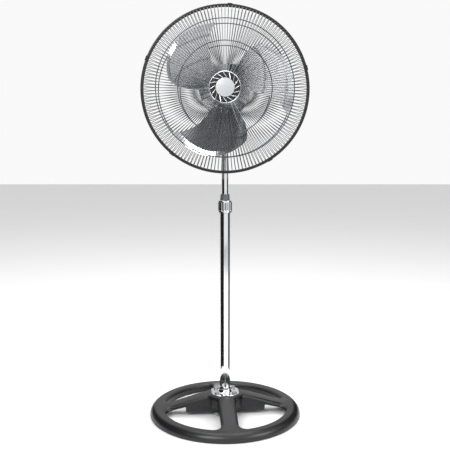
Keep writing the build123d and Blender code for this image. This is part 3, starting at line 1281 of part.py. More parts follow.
for name, maker in PIECES.items():
    made = maker()
    shapes = made if isinstance(made, list) else [made]
    if name in BASE_NODES:
        shapes = [Rot(0, 0, BASE_TURN) * shape for shape in shapes]
    write(name, *shapes)
for index in range(BLADES):
    write(f"fan_blade_{index + 1}", make_fan_blade(index))
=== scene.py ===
"""Pedestal fan: the shown surfaces and finishes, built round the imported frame."""
import json
import logging
import math
from dataclasses import dataclass, field
from enum import Enum

import bpy
import numpy as np
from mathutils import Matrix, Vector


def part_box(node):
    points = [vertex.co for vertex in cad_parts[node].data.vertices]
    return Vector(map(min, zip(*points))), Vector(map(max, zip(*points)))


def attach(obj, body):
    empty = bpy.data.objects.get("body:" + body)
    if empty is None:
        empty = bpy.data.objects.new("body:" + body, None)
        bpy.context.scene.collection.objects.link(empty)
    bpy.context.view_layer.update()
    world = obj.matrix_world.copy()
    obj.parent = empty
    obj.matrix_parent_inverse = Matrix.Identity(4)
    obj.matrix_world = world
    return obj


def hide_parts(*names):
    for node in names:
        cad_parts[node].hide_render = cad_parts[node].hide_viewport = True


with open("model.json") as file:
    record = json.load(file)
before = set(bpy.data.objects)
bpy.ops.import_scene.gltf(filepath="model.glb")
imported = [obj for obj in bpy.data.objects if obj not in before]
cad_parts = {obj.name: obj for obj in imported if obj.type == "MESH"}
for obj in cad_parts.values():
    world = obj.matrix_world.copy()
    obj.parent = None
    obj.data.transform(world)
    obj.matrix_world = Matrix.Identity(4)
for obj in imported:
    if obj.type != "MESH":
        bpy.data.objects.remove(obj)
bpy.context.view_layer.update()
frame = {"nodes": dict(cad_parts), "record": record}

LOG = logging.getLogger("pedestal_fan")
MM = 0.001
TAU = 2 * math.pi
AXIS = 1.034                  # height of the fan's axis
NODES = frame["nodes"]


# ------------------------------------------------------------------ surfaces
@dataclass
class Surface:
    """Points and polygons of one mesh, as whole arrays.

    Attributes:
        points: N x 3 array of positions in metres.
        quads: M x 4 array of point numbers, anticlockwise seen from outside.
        fans: polygons with other counts of corners, such as end caps.
    """

    points: np.ndarray
    quads: np.ndarray
    fans: list[list[int]] = field(default_factory=list)

    def joined(self, other: "Surface") -> "Surface":
        """Returns one surface that holds both."""
        shift = len(self.points)
        fans = self.fans + [[i + shift for i in fan] for fan in other.fans]
        points = np.vstack([self.points, other.points])
        return Surface(points, np.vstack([self.quads, other.quads + shift]), fans)

    def turned(self, angles: np.ndarray, along: str = "Y") -> "Surface":
        """Repeats the surface at each angle about an axis.

        Args:
            angles: turns in radians.
            along: "Y" for the fan's axis, "Z" for the pole's axis.

        Returns:
            All copies as one surface.
        """
        cosines, sines = np.cos(angles)[:, None], np.sin(angles)[:, None]
        x, y, z = self.points.T
        if along == "Y":
            high = z - AXIS
            copies = [x * cosines - high * sines, np.broadcast_to(y, (len(angles), len(y))),
                      x * sines + high * cosines + AXIS]
        else:
            copies = [x * cosines - y * sines, x * sines + y * cosines,
                      np.broadcast_to(z, (len(angles), len(z)))]
        points = np.stack(copies, axis=-1).reshape(-1, 3)
        shifts = np.arange(len(angles)) * len(self.points)
        quads = (self.quads[None] + shifts[:, None, None]).reshape(-1, 4)
        fans = [[i + int(shift) for i in fan] for shift in shifts for fan in self.fans]
        return Surface(points, quads, fans)

    def flipped(self) -> "Surface":
        """Returns the surface with its faces turned over."""
        return Surface(self.points, self.quads[:, ::-1], [fan[::-1] for fan in self.fans])


def grid(points: np.ndarray, wrap_rows: bool = False, wrap_columns: bool = False) -> Surface:
    """Joins a grid of points with quads.

    Args:
        points: rows x columns x 3 array.
        wrap_rows: joins the last row to the first.
        wrap_columns: joins the last column to the first.

    Returns:
        The quads over the grid, facing along (row direction) x (column direction).
    """
    rows, columns = points.shape[:2]
    number = np.arange(rows * columns).reshape(rows, columns)
    if wrap_rows:
        number = np.vstack([number, number[:1]])
    if wrap_columns:
        number = np.hstack([number, number[:, :1]])
    quads = np.stack([number[:-1, :-1], number[1:, :-1], number[1:, 1:], number[:-1, 1:]], axis=-1)
    return Surface(points.reshape(-1, 3), quads.reshape(-1, 4))


def lathe(profile: np.ndarray, along: str = "Z", steps: int = 96, centre: tuple[float, float] = (0.0, 0.0),
          closed: bool = True) -> Surface:
    """Turns a profile about an axis: each point (r, h) goes to (r cos a, r sin a, h) for every angle a.

    Args:
        profile: N x 2 array of (radius, distance along the axis) in metres, anticlockwise in that plane.
        along: "Z" for an upright axis, "Y" for one along the fan's axis.
        steps: divisions of the turn.
        centre: place of the axis, (x, y) for "Z" and (x, z) for "Y".
        closed: joins the profile's last point to its first.

    Returns:
        The turned surface, facing outwards.
    """
    angle = np.arange(steps) / steps * TAU
    radius, height = profile[:, 0][:, None], profile[:, 1][:, None]
    across, up = radius * np.cos(angle), radius * np.sin(angle)
    level = np.broadcast_to(height, across.shape)
    if along == "Z":
        points = np.stack([across + centre[0], up + centre[1], level], axis=-1)
        return grid(points, wrap_rows=closed, wrap_columns=True).flipped()
    points = np.stack([across + centre[0], level, up + centre[1]], axis=-1)
    return grid(points, wrap_rows=closed, wrap_columns=True)


def rounded(corners: list[tuple[float, float]], radius: float, steps: int = 5) -> np.ndarray:
    """Rounds the corners of a closed outline with quadratic curves.

    Each corner is replaced by the curve (1-t)^2 A + 2t(1-t) C + t^2 B, where A and B lie on its two sides
    at the rounding's distance, or at a third of a shorter side.

    Args:
        corners: the outline's corners in millimetres, anticlockwise.
        radius: the rounding's reach along each side, in millimetres.
        steps: divisions of each rounding.

    Returns:
        N x 2 array in metres.
    """
    corner = np.array(corners, float)
    before, after = np.roll(corner, 1, axis=0) - corner, np.roll(corner, -1, axis=0) - corner
    long_before, long_after = np.linalg.norm(before, axis=1), np.linalg.norm(after, axis=1)
    reach = np.minimum(radius, np.minimum(long_before, long_after) / 3)[:, None]
    start, end = corner + before / long_before[:, None] * reach, corner + after / long_after[:, None] * reach
    t = np.linspace(0, 1, steps + 1)[None, :, None]
    curve = (1 - t) ** 2 * start[:, None] + 2 * t * (1 - t) * corner[:, None] + t ** 2 * end[:, None]
    return curve.reshape(-1, 2) * MM


def swept(path: np.ndarray, radius: float, sides: int = 6, closed: bool = False) -> Surface:
    """Carries a circle along a flat path, upright on the path at every point.

    Args:
        path: N x 3 array of the middle line, which lies in one plane.
        radius: the wire's radius in metres.
        sides: corners of the circle.
        closed: joins the end to the start.

    Returns:
        The tube, capped at both ends when it isn't closed.
    """
    if closed:
        tangent = np.roll(path, -1, axis=0) - np.roll(path, 1, axis=0)
    else:
        tangent = np.gradient(path, axis=0)
    tangent /= np.linalg.norm(tangent, axis=1, keepdims=True)
    plane = np.cross(tangent[0], tangent[len(path) // 2])
    size = np.linalg.norm(plane)
    plane = plane / size if size > 1e-6 else np.array([0.0, 0.0, 1.0])
    side = np.cross(plane, tangent)
    angle = (np.arange(sides) / sides * TAU)[None, :, None]
    points = path[:, None] + radius * (np.cos(angle) * side[:, None] + np.sin(angle) * plane)
    tube = grid(points, wrap_rows=closed, wrap_columns=True).flipped()
    if not closed:
        last = (len(path) - 1) * sides
        tube.fans = [list(range(sides))[::-1], list(range(last, last + sides))]
    return tube


def slab(front: np.ndarray, back: np.ndarray) -> Surface:
    """Closes two grids of the same size into one solid sheet with a wall round its edge.

    Args:
        front: rows x columns x 3 array of the face that (row) x (column) points out of.
        back: the same for the far face.

    Returns:
        The closed sheet.
    """
    rows, columns = front.shape[:2]
    number = np.arange(rows * columns).reshape(rows, columns)
    rim = np.concatenate([number[0, :-1], number[:-1, -1], number[-1, :0:-1], number[:0:-1, 0]])
    follow = np.roll(rim, -1)
    shift = rows * columns
    wall = np.stack([rim, follow, follow + shift, rim + shift], axis=-1)
    face, far = grid(front), grid(back).flipped()
    return Surface(np.vstack([face.points, far.points]), np.vstack([face.quads, far.quads + shift, wall]))


def make_piece(name: str, surface: Surface, body: str, nodes: tuple[str, ...] = (),
               sharp: float = 35.0) -> bpy.types.Object:
    """Makes the object of a surface, smooth apart from its sharp edges, and puts it on its body.

    Args:
        name: the object's name.
        surface: its points and faces.
        body: the body that it rides on.
        nodes: the frame's nodes that it stands for.
        sharp: the edge angle in degrees past which shading breaks.

    Returns:
        The new object.
    """
    mesh = bpy.data.meshes.new(name)
    mesh.from_pydata(surface.points.tolist(), [], surface.quads.tolist() + surface.fans)
    mesh.polygons.foreach_set("use_smooth", np.ones(len(mesh.polygons), bool))
    mesh.set_sharp_from_angle(angle=math.radians(sharp))
    mesh.update()
    piece = bpy.data.objects.new(name, mesh)
    bpy.context.scene.collection.objects.link(piece)
    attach(piece, body)
    if nodes:
        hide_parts(*nodes)
    LOG.info("%s: %d faces on %s", name, len(mesh.polygons), body)
    return piece


# ------------------------------------------------------------------ finishes
class Pattern(Enum):
    """How a surface was made, which sets the pattern of its relief and gloss."""

    GRAIN = "even grain, as moulded, cast or plated"
    SPUN = "fine circles about the fan's axis, as turned or spun"
    DRAWN = "fine lines along the pole, as drawn tube"
    STACKED = "thin layers along the fan's axis, as laminations"


def linear(code: str, alpha: float = 1.0) -> tuple[float, float, float, float]:
    """Turns an sRGB hex colour to linear values.

    Args:
        code: the colour as "#rrggbb".
        alpha: the fourth value.

    Returns:
        Linear red, green, blue and alpha.
    """
    shares = [int(code[i:i + 2], 16) / 255 for i in (1, 3, 5)]
    red, green, blue = [c / 12.92 if c <= 0.04045 else ((c + 0.055) / 1.055) ** 2.4 for c in shares]
    return red, green, blue, alpha


def add_node(tree: bpy.types.NodeTree, kind: str, settings: dict | None = None, links: dict | None = None,
             **attributes: object) -> bpy.types.Node:
    """Adds a shader node.

    Args:
        tree: the material's node tree.
        kind: the node's type name without its "ShaderNode".
        settings: values for its input sockets.
        links: output sockets to join to its input sockets.
        **attributes: the node's own properties.

    Returns:
        The new node.
    """
    node = tree.nodes.new("ShaderNode" + kind)
    for name, value in attributes.items():
        setattr(node, name, value)
    for socket, value in (settings or {}).items():
        node.inputs[socket].default_value = value
    for socket, source in (links or {}).items():
        tree.links.new(source, node.inputs[socket])
    return node


@dataclass(frozen=True)
class Finish:
    """A material as it is made: its colours, gloss and the relief of its surface.

    Attributes:
        name: the material's common name.
        colour: its main colour, as sRGB hex.
        shade: the colour in its darker patches.
        metallic: 1 for bare metal.
        roughness: middle roughness.
        uneven: how far the roughness wanders either way.
        grain_mm: size of one grain or the spacing of its lines.
        relief_mm: height of that grain.
        patch_mm: size of the broad patches of colour.
        pattern: how the surface was made.
        coat: strength of a clear coat.
        ior: index of refraction; metals keep the default.
    """

    name: str
    colour: str
    shade: str
    metallic: float
    roughness: float
    uneven: float = 0.04
    grain_mm: float = 1.0
    relief_mm: float = 0.01
    patch_mm: float = 60.0
    pattern: Pattern = Pattern.GRAIN
    coat: float = 0.0
    ior: float = 1.5

    def place(self, tree: bpy.types.NodeTree) -> bpy.types.NodeSocket:
        """Returns the coordinates that the pattern is drawn on, in millimetres of the object."""
        spot = add_node(tree, "TexCoord").outputs["Object"]
        if self.pattern is Pattern.GRAIN:
            return spot
        if self.pattern is Pattern.DRAWN:
            return add_node(tree, "Mapping", {"Scale": (1, 1, 0.01)}, {"Vector": spot}).outputs["Vector"]
        moved = add_node(tree, "Mapping", {"Location": (0, 0, -AXIS)}, {"Vector": spot}).outputs["Vector"]
        parts = add_node(tree, "SeparateXYZ", links={"Vector": moved})
        if self.pattern is Pattern.STACKED:
            return add_node(tree, "CombineXYZ", links={"Y": parts.outputs["Y"]}).outputs["Vector"]
        flat = add_node(tree, "CombineXYZ", links={"X": parts.outputs["X"], "Z": parts.outputs["Z"]})
        radius = add_node(tree, "VectorMath", links={0: flat.outputs["Vector"]}, operation="LENGTH")
        return add_node(tree, "CombineXYZ", links={"X": radius.outputs["Value"]}).outputs["Vector"]

    def build(self) -> bpy.types.Material:
        """Builds the material: patches of colour, wandering gloss and a fine relief.

        Returns:
            The finished material.
        """
        material = bpy.data.materials.new(self.name)
        material.use_nodes = True
        tree = material.node_tree
        tree.nodes.clear()
        spot = add_node(tree, "TexCoord").outputs["Object"]
        lines = self.place(tree)
        patch = add_node(tree, "TexNoise", {"Scale": 1 / (self.patch_mm * MM), "Detail": 4.0},
                         {"Vector": spot})
        grain = add_node(tree, "TexNoise", {"Scale": 1 / (self.grain_mm * MM), "Detail": 3.0},
                         {"Vector": lines})
        colour = add_node(tree, "Mix", {6: linear(self.colour), 7: linear(self.shade)},
                          {0: patch.outputs["Fac"]}, data_type="RGBA")
        gloss = add_node(tree, "MapRange", {"From Min": 0.3, "From Max": 0.7,
                                            "To Min": self.roughness - self.uneven,
                                            "To Max": self.roughness + self.uneven},
                         {"Value": grain.outputs["Fac"]})
        relief = add_node(tree, "Bump", {"Strength": 1.0, "Distance": self.relief_mm * MM},
                          {"Height": grain.outputs["Fac"]})
        settings = {"Metallic": self.metallic, "Coat Weight": self.coat}
        if not self.metallic:
            settings["IOR"] = self.ior
        shader = add_node(tree, "BsdfPrincipled", settings,
                          {"Base Color": colour.outputs[2], "Roughness": gloss.outputs["Result"],
                           "Normal": relief.outputs["Normal"]})
        add_node(tree, "OutputMaterial", links={"Surface": shader.outputs["BSDF"]})
        return material


# bright decorative chrome on polished steel: a near mirror, a little blue
CHROME = Finish("chrome plate", "#eef0f2", "#dfe2e5", 1.0, 0.07, 0.02, 4.0, 0.004, 90.0, Pattern.DRAWN)
# nickel-plated guard wire: a dark grey metal, which stands out against a pale ground
WIRE = Finish("nickel plated wire", "#5f6265", "#4c4f52", 1.0, 0.22, 0.05, 3.0, 0.01, 40.0)
# satin ABS of the base: a fine spark-eroded grain that breaks up the highlights
SATIN_ABS = Finish("satin moulded ABS", "#17171a", "#101012", 0.0, 0.36, 0.05, 1.2, 0.05, 70.0, ior=1.53)
# semi-gloss ABS of the rim, casing and knobs
GLOSS_ABS = Finish("gloss moulded ABS", "#141416", "#0d0d0f", 0.0, 0.24, 0.04, 2.0, 0.02, 60.0, ior=1.53)
# blades rolled from polished aluminium sheet, with its rolling marks
POLISHED = Finish("polished aluminium sheet", "#e2e4e7", "#cfd2d6", 1.0, 0.13, 0.03, 1.4, 0.0012,
                  50.0, Pattern.SPUN)
# spun and brushed aluminium of the badge and hub: rings of fine scratches that spread the highlight
BRUSHED = Finish("brushed aluminium", "#dcdee1", "#c6c9cd", 1.0, 0.3, 0.08, 0.7, 0.012, 30.0, Pattern.SPUN)
CAST_IRON = Finish("painted cast iron", "#232427", "#18191b", 0.0, 0.55, 0.08, 2.5, 0.15, 50.0, ior=1.5)
RUBBER = Finish("moulded rubber", "#161616", "#101010", 0.0, 0.8, 0.06, 0.8, 0.04, 30.0, ior=1.52)
ZINC = Finish("zinc plated steel", "#c3c7c9", "#a3a7a6", 1.0, 0.32, 0.06, 1.5, 0.01, 12.0)
ACETAL = Finish("grey acetal", "#5d6064", "#515458", 0.0, 0.38, 0.04, 1.0, 0.02, 30.0, ior=1.48)
PAINTED = Finish("painted die casting", "#1b1b1d", "#131315", 0.0, 0.42, 0.06, 1.4, 0.05, 40.0,
                 ior=1.5, coat=0.15)
CAST_ALUMINIUM = Finish("die cast aluminium", "#b4b6b8", "#9b9d9f", 1.0, 0.48, 0.08, 1.6, 0.05, 25.0)
GROUND_STEEL = Finish("ground steel", "#b9bbbd", "#a2a4a6", 1.0, 0.26, 0.05, 0.6, 0.006, 20.0,
                      Pattern.STACKED)
LAMINATED = Finish("laminated steel", "#77797b", "#5d5f61", 1.0, 0.5, 0.08, 0.9, 0.08, 20.0, Pattern.STACKED)
COPPER = Finish("enamelled copper wire", "#a85a2c", "#8c4522", 1.0, 0.34, 0.06, 0.9, 0.2, 12.0, Pattern.SPUN)
BRONZE = Finish("sintered bronze", "#a98554", "#8a6a40", 1.0, 0.45, 0.06, 0.5, 0.02, 10.0)
GREY_ABS = Finish("grey moulded ABS", "#4a4c50", "#3e4044", 0.0, 0.42, 0.05, 1.2, 0.03, 30.0, ior=1.53)
NYLON = Finish("natural nylon", "#e4e1d6", "#d6d2c4", 0.0, 0.36, 0.05, 1.0, 0.02, 20.0, ior=1.53)

SLOT_FINISH = {
    "satin_black_moulding": SATIN_ABS, "black_rubber": RUBBER, "cast_iron_weight": CAST_IRON,
    "chrome_steel": CHROME, "bright_wire": WIRE, "zinc_steel": ZINC, "grey_acetal": ACETAL,
    "black_plastic": GLOSS_ABS, "die_cast_black": PAINTED, "brushed_badge": BRUSHED,
    "polished_aluminium": POLISHED, "cast_aluminium": CAST_ALUMINIUM, "ground_steel": GROUND_STEEL,
    "laminated_steel": LAMINATED, "enamelled_copper": COPPER, "sintered_bronze": BRONZE,
    "grey_gearbox_plastic": GREY_ABS, "white_gear_plastic": NYLON,
}
BUILT: dict[str, bpy.types.Material] = {}


def material_of(finish: Finish) -> bpy.types.Material:
    """Returns a finish's material, built the first time that it is asked for."""
    if finish.name not in BUILT:
        BUILT[finish.name] = finish.build()
    return BUILT[finish.name]


def dress(piece: bpy.types.Object, finish: Finish) -> None:
    """Gives a piece one finish all over."""
    piece.data.materials.clear()
    piece.data.materials.append(material_of(finish))


# ------------------------------------------------------------------ pole
@dataclass
class Pole:
    """The chrome pole, its flange, and the clamping nut between its two tubes."""

    outer_radius: float = 17.0
    inner_radius: float = 11.0
    wall: float = 1.2
    thread_radius: float = 20.0
    nut_radius: float = 23.0
    nut_flutes: int = 16
    flute_depth: float = 1.3
    nut_lip: float = 2.2
    cone_radius: float = 16.0
    flange_radius: float = 48.5
    socket_radius: float = 21.5
    lobes: int = 4
    lobe_depth: float = 5.0

    def build(self) -> None:
        """Builds the tubes, the nut and the flange."""
        self.tube("lower_pole", "outer_tube", "stand", self.outer_radius)
        self.tube("sliding_pole", "inner_tube", "mast", self.inner_radius)
        self.nut()
        self.flange()

    def tube(self, name: str, node: str, body: str, radius: float) -> None:
        """Builds a drawn tube as a turned ring with softened ends.

        Args:
            name: the piece's name.
            node: the node that it stands for.
            body: the body that it rides on.
            radius: outer radius in millimetres.
        """
        low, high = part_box(node)
        bottom, top = low.z / MM, high.z / MM
        inside = radius - self.wall
        profile = rounded([(inside, bottom), (radius, bottom), (radius, top), (inside, top)], 0.4, 3)
        piece = make_piece(name, lathe(profile), body, (node,))
        dress(piece, CHROME)

    def nut(self) -> None:
        """Builds the nut: its radius falls by a rounded cosine of the angle over the fluted band."""
        low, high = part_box("height_nut")
        bottom, top = low.z / MM, high.z / MM
        bore, mouth, skin_radius = self.thread_radius + 0.06, self.cone_radius + 0.3, self.nut_radius
        outline = [(bore, bottom), (skin_radius, bottom), (skin_radius, bottom + 5),
                   (skin_radius, bottom + 6.5), (skin_radius, top - 6.5), (skin_radius, top - 5),
                   (skin_radius, top), (mouth, top), (mouth, top - self.nut_lip), (bore, top - self.nut_lip)]
        profile = rounded(outline, 1.4, 4)
        steps = self.nut_flutes * 12
        surface = lathe(profile, steps=steps)
        radius = np.hypot(surface.points[:, 0], surface.points[:, 1])
        angle = np.arctan2(surface.points[:, 1], surface.points[:, 0])
        height = surface.points[:, 2] / MM
        band = np.clip((height - bottom - 4.5) / 2, 0, 1) * np.clip((top - 4.5 - height) / 2, 0, 1)
        skin = np.clip((radius / MM - self.thread_radius - 1) / 1.5, 0, 1)
        flute = np.clip(np.cos(angle * self.nut_flutes) - 0.1, 0, 1) ** 0.7
        shrink = 1 - flute * band * skin * self.flute_depth / self.nut_radius
        surface.points[:, :2] *= shrink[:, None]
        piece = make_piece("clamping_nut", surface, "lock_nut", ("height_nut",), 45)
        dress(piece, CHROME)

    def flange(self) -> None:
        """Builds the flange: a dished plate whose edge waves with the angle, flaring up into the socket."""
        low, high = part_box("pole_flange")
        base, top = low.z / MM, high.z / MM
        bore = self.outer_radius + 0.05
        sweep_angle = np.linspace(0, math.pi / 2, 9)
        flare = 10.0
        curve = [(self.socket_radius + flare * (1 - math.sin(a)), base + 3 + flare * (1 - math.cos(a)))
                 for a in sweep_angle]
        outline = [(bore, base), (self.flange_radius - 1.2, base), (self.flange_radius, base + 1.0),
                   (self.flange_radius, base + 2.2), (self.flange_radius - 1.6, base + 3.0)]
        outline += curve + [(self.socket_radius, top - 1.2), (self.socket_radius - 1.2, top), (bore, top)]
        surface = lathe(np.array(outline) * MM, steps=144)
        radius = np.hypot(surface.points[:, 0], surface.points[:, 1]) / MM
        angle = np.arctan2(surface.points[:, 1], surface.points[:, 0])
        turn = math.radians(5 + 45)
        notch = (0.5 - 0.5 * np.cos(self.lobes * (angle - turn))) ** 2
        edge = np.clip((radius - 36) / (self.flange_radius - 36), 0, 1)
        surface.points[:, :2] *= (1 - notch * edge * self.lobe_depth / self.flange_radius)[:, None]
        piece = make_piece("flange_plate", surface, "stand", ("pole_flange",))
        dress(piece, CHROME)


# ------------------------------------------------------------------ guard
@dataclass
class Guard:
    """The two wire grilles, their hoops, and the band that joins them."""

    wires: int = 144
    wire_radius: float = 1.0
    hoop_radius: float = 1.5
    rim_wire_radius: float = 2.2
    rim_radius: float = 252.0
    rim_plane: float = -148.0
    band_half: float = 6.15
    band_lip: float = 8.5
    bend_radius: float = 30.0
    wire_end: float = 245.2
    front_start: tuple[float, float] = (38.0, -208.0)
    front_shoulder: tuple[float, float] = (225.0, -190.0)
    front_bend: float = -168.0
    rear_start: tuple[float, float] = (58.0, -80.0)
    rear_shoulder: tuple[float, float] = (228.0, -103.5)
    rear_bend: float = -125.0
    rim_gap: float = 2.35
    hoops: tuple[float, float] = (137.5, 203.0)
    bend_steps: int = 4
    weld_depth: float = 0.2
    rim_wire_circle: float = 248.2
    band_wall: float = 1.6

    def build(self) -> None:
        """Builds both grilles and the band."""
        self.grille("front", self.front_start, self.front_shoulder, self.front_bend, -1)
        self.grille("rear", self.rear_start, self.rear_shoulder, self.rear_bend, 1)
        self.band()

    def wire_path(self, start: tuple[float, float], shoulder: tuple[float, float], bend: float,
                  end: float) -> np.ndarray:
        """Lays one wire's middle line: straight runs joined by round bends.

        Each bend is a quadratic curve between the points where an arc of the bend's radius meets its runs.

        Args:
            start: (radius, y) of the inner end.
            shoulder: (radius, y) of the outer corner of its face.
            bend: y of the corner at the rim.
            end: y of its end along the rim.

        Returns:
            N x 3 array in metres, for the wire that points along +X.
        """
        corner = np.array([start, shoulder, (self.wire_end, bend), (self.wire_end, end)])
        line = [corner[:1]]
        for k in (1, 2):
            back, ahead = corner[k - 1] - corner[k], corner[k + 1] - corner[k]
            back, ahead = back / np.linalg.norm(back), ahead / np.linalg.norm(ahead)
            reach = self.bend_radius / math.tan(math.acos(float(back @ ahead)) / 2)
            t = np.linspace(0, 1, self.bend_steps)[:, None]
            line.append((1 - t) ** 2 * (corner[k] + back * reach) + 2 * t * (1 - t) * corner[k]
                        + t ** 2 * (corner[k] + ahead * reach))
        line.append(corner[3:])
        flat = np.vstack(line) * MM
        return np.stack([flat[:, 0], flat[:, 1], np.full(len(flat), AXIS)], axis=-1)

    def hoop(self, radius: float, y: float, wire: float) -> Surface:
        """Builds a round wire hoop about the fan's axis."""
        angle = np.arange(12) / 12 * TAU
        profile = np.stack([radius + wire * np.cos(angle), y + wire * np.sin(angle)], axis=-1) * MM
        return lathe(profile, "Y", 192, (0.0, AXIS))

    def grille(self, side: str, start: tuple[float, float], shoulder: tuple[float, float], bend: float,
               outward: int) -> None:
        """Builds one grille's wires and hoops.

        Args:
            side: "front" or "rear".
            start: (radius, y) of each wire's inner end.
            shoulder: (radius, y) of its outer corner.
            bend: y of its corner at the rim.
            outward: -1 for the front, 1 for the rear.
        """
        rim_y = self.rim_plane + outward * self.rim_gap
        wire = swept(self.wire_path(start, shoulder, bend, rim_y), self.wire_radius * MM)
        angles = np.arange(self.wires) / self.wires * TAU
        piece = make_piece(f"{side}_guard_wires", wire.turned(angles), "head",
                           (f"{side}_grille_wires",), 60)
        dress(piece, WIRE)
        rings = self.hoop(self.rim_wire_circle, rim_y, self.rim_wire_radius)
        for radius in self.hoops:
            share = (radius - start[0]) / (shoulder[0] - start[0])
            beside = self.wire_radius + self.hoop_radius - self.weld_depth
            level = start[1] + share * (shoulder[1] - start[1]) - outward * beside
            rings = rings.joined(self.hoop(radius, level, self.hoop_radius))
        piece = make_piece(f"{side}_guard_hoops", rings, "head", (f"{side}_grille_rings",))
        dress(piece, WIRE)

    def band(self) -> None:
        """Builds the channel band round both rim hoops, with rounded outer corners."""
        outer, inner = self.rim_radius, self.rim_radius - self.band_lip
        low, high = self.rim_plane - self.band_half, self.rim_plane + self.band_half
        wall = self.band_wall
        outline = [(inner, low), (outer, low), (outer, high), (inner, high), (inner, high - wall),
                   (outer - wall, high - wall), (outer - wall, low + wall), (inner, low + wall)]
        surface = lathe(rounded(outline, wall, 4), "Y", 240, (0.0, AXIS))
        piece = make_piece("guard_band", surface, "head", ("grille_rim",))
        dress(piece, GLOSS_ABS)


# ------------------------------------------------------------------ badge
@dataclass
class Badge:
    """The round badge in the middle of the front grille."""

    radius: float = 47.5
    rim_width: float = 3.4
    front: float = -216.0
    seat: float = -209.0
    disc_radius: float = 27.5
    vanes: int = 16
    vane_wall: float = 1.7
    vane_slant: float = 35.0

    def build(self) -> None:
        """Builds the rim, the louvre with its vanes, and the disc."""
        self.rim()
        self.louvre()
        self.disc()

    def rim(self) -> None:
        """Builds the rim as a turned half-round ring."""
        inner = self.radius - self.rim_width
        outline = [(inner, self.seat), (inner, self.front + 1.4), (inner + 1.6, self.front),
                   (self.radius - 2.4, self.front), (self.radius, self.front + 2.6),
                   (self.radius, self.seat)]
        surface = lathe(rounded(outline[::-1], 1.8, 5), "Y", 128, (0.0, AXIS))
        piece = make_piece("badge_bezel", surface.flipped(), "head", ("badge_rim",), 50)
        dress(piece, CHROME)

    def louvre(self) -> None:
        """Builds the dark floor, and bright vanes: bars across the ring, each turned by the slant."""
        inner, outer = self.disc_radius - 3, self.radius - self.rim_width - 0.05
        floor = [(inner, self.seat - 1.5), (outer, self.seat - 1.5), (outer, self.seat), (inner, self.seat)]
        surface = lathe(rounded(floor, 0.3, 2), "Y", 96, (0.0, AXIS))
        piece = make_piece("badge_recess", surface, "head", ("badge_louvre",))
        dress(piece, GLOSS_ABS)
        middle = (self.disc_radius + outer) / 2
        half = (outer - self.disc_radius) / 2 / math.cos(math.radians(self.vane_slant)) * 0.93
        along, across = np.linspace(-half, half, 6)[:, None], np.linspace(-1, 1, 5)[None, :]
        slant = math.radians(self.vane_slant)
        width = self.vane_wall * (0.5 + 0.3 * (1 - (along / half) ** 2))
        x = middle + along * math.cos(slant) - across * width * math.sin(slant)
        z = along * math.sin(slant) + across * width * math.cos(slant)
        rise = self.front + 1.6 + 1.1 * across ** 2 + 0 * along
        face = np.stack([x * MM, rise * MM, z * MM + AXIS], axis=-1)
        back = face.copy()
        back[..., 1] = (self.seat - 1.4) * MM
        vane = slab(face, back).turned(np.arange(self.vanes) / self.vanes * TAU)
        piece = make_piece("badge_vanes", vane, "head", (), 40)
        dress(piece, CHROME)

    def disc(self) -> None:
        """Builds the disc: y rises from its edge to its middle as a shallow parabola."""
        share = np.linspace(0, 1, 14)
        radius = (self.disc_radius - 0.8) * (1 - share)
        face = self.front + 1.0 - 1.2 * (1 - (radius / self.disc_radius) ** 2) + 0.4
        ledge = self.disc_radius - 3.05
        outline = [(0.0, self.seat), (ledge, self.seat), (ledge, self.seat - 1.5),
                   (self.disc_radius, self.seat - 1.5), (self.disc_radius, self.front + 2.0)]
        profile = np.vstack([np.array(outline), np.stack([radius, face], axis=-1)])[::-1] * MM
        profile[:, 0] = np.maximum(profile[:, 0], 0.02 * MM)
        surface = lathe(profile, "Y", 96, (0.0, AXIS))
        piece = make_piece("badge_face", surface.flipped(), "head", ("badge_disc",))
        dress(piece, BRUSHED)


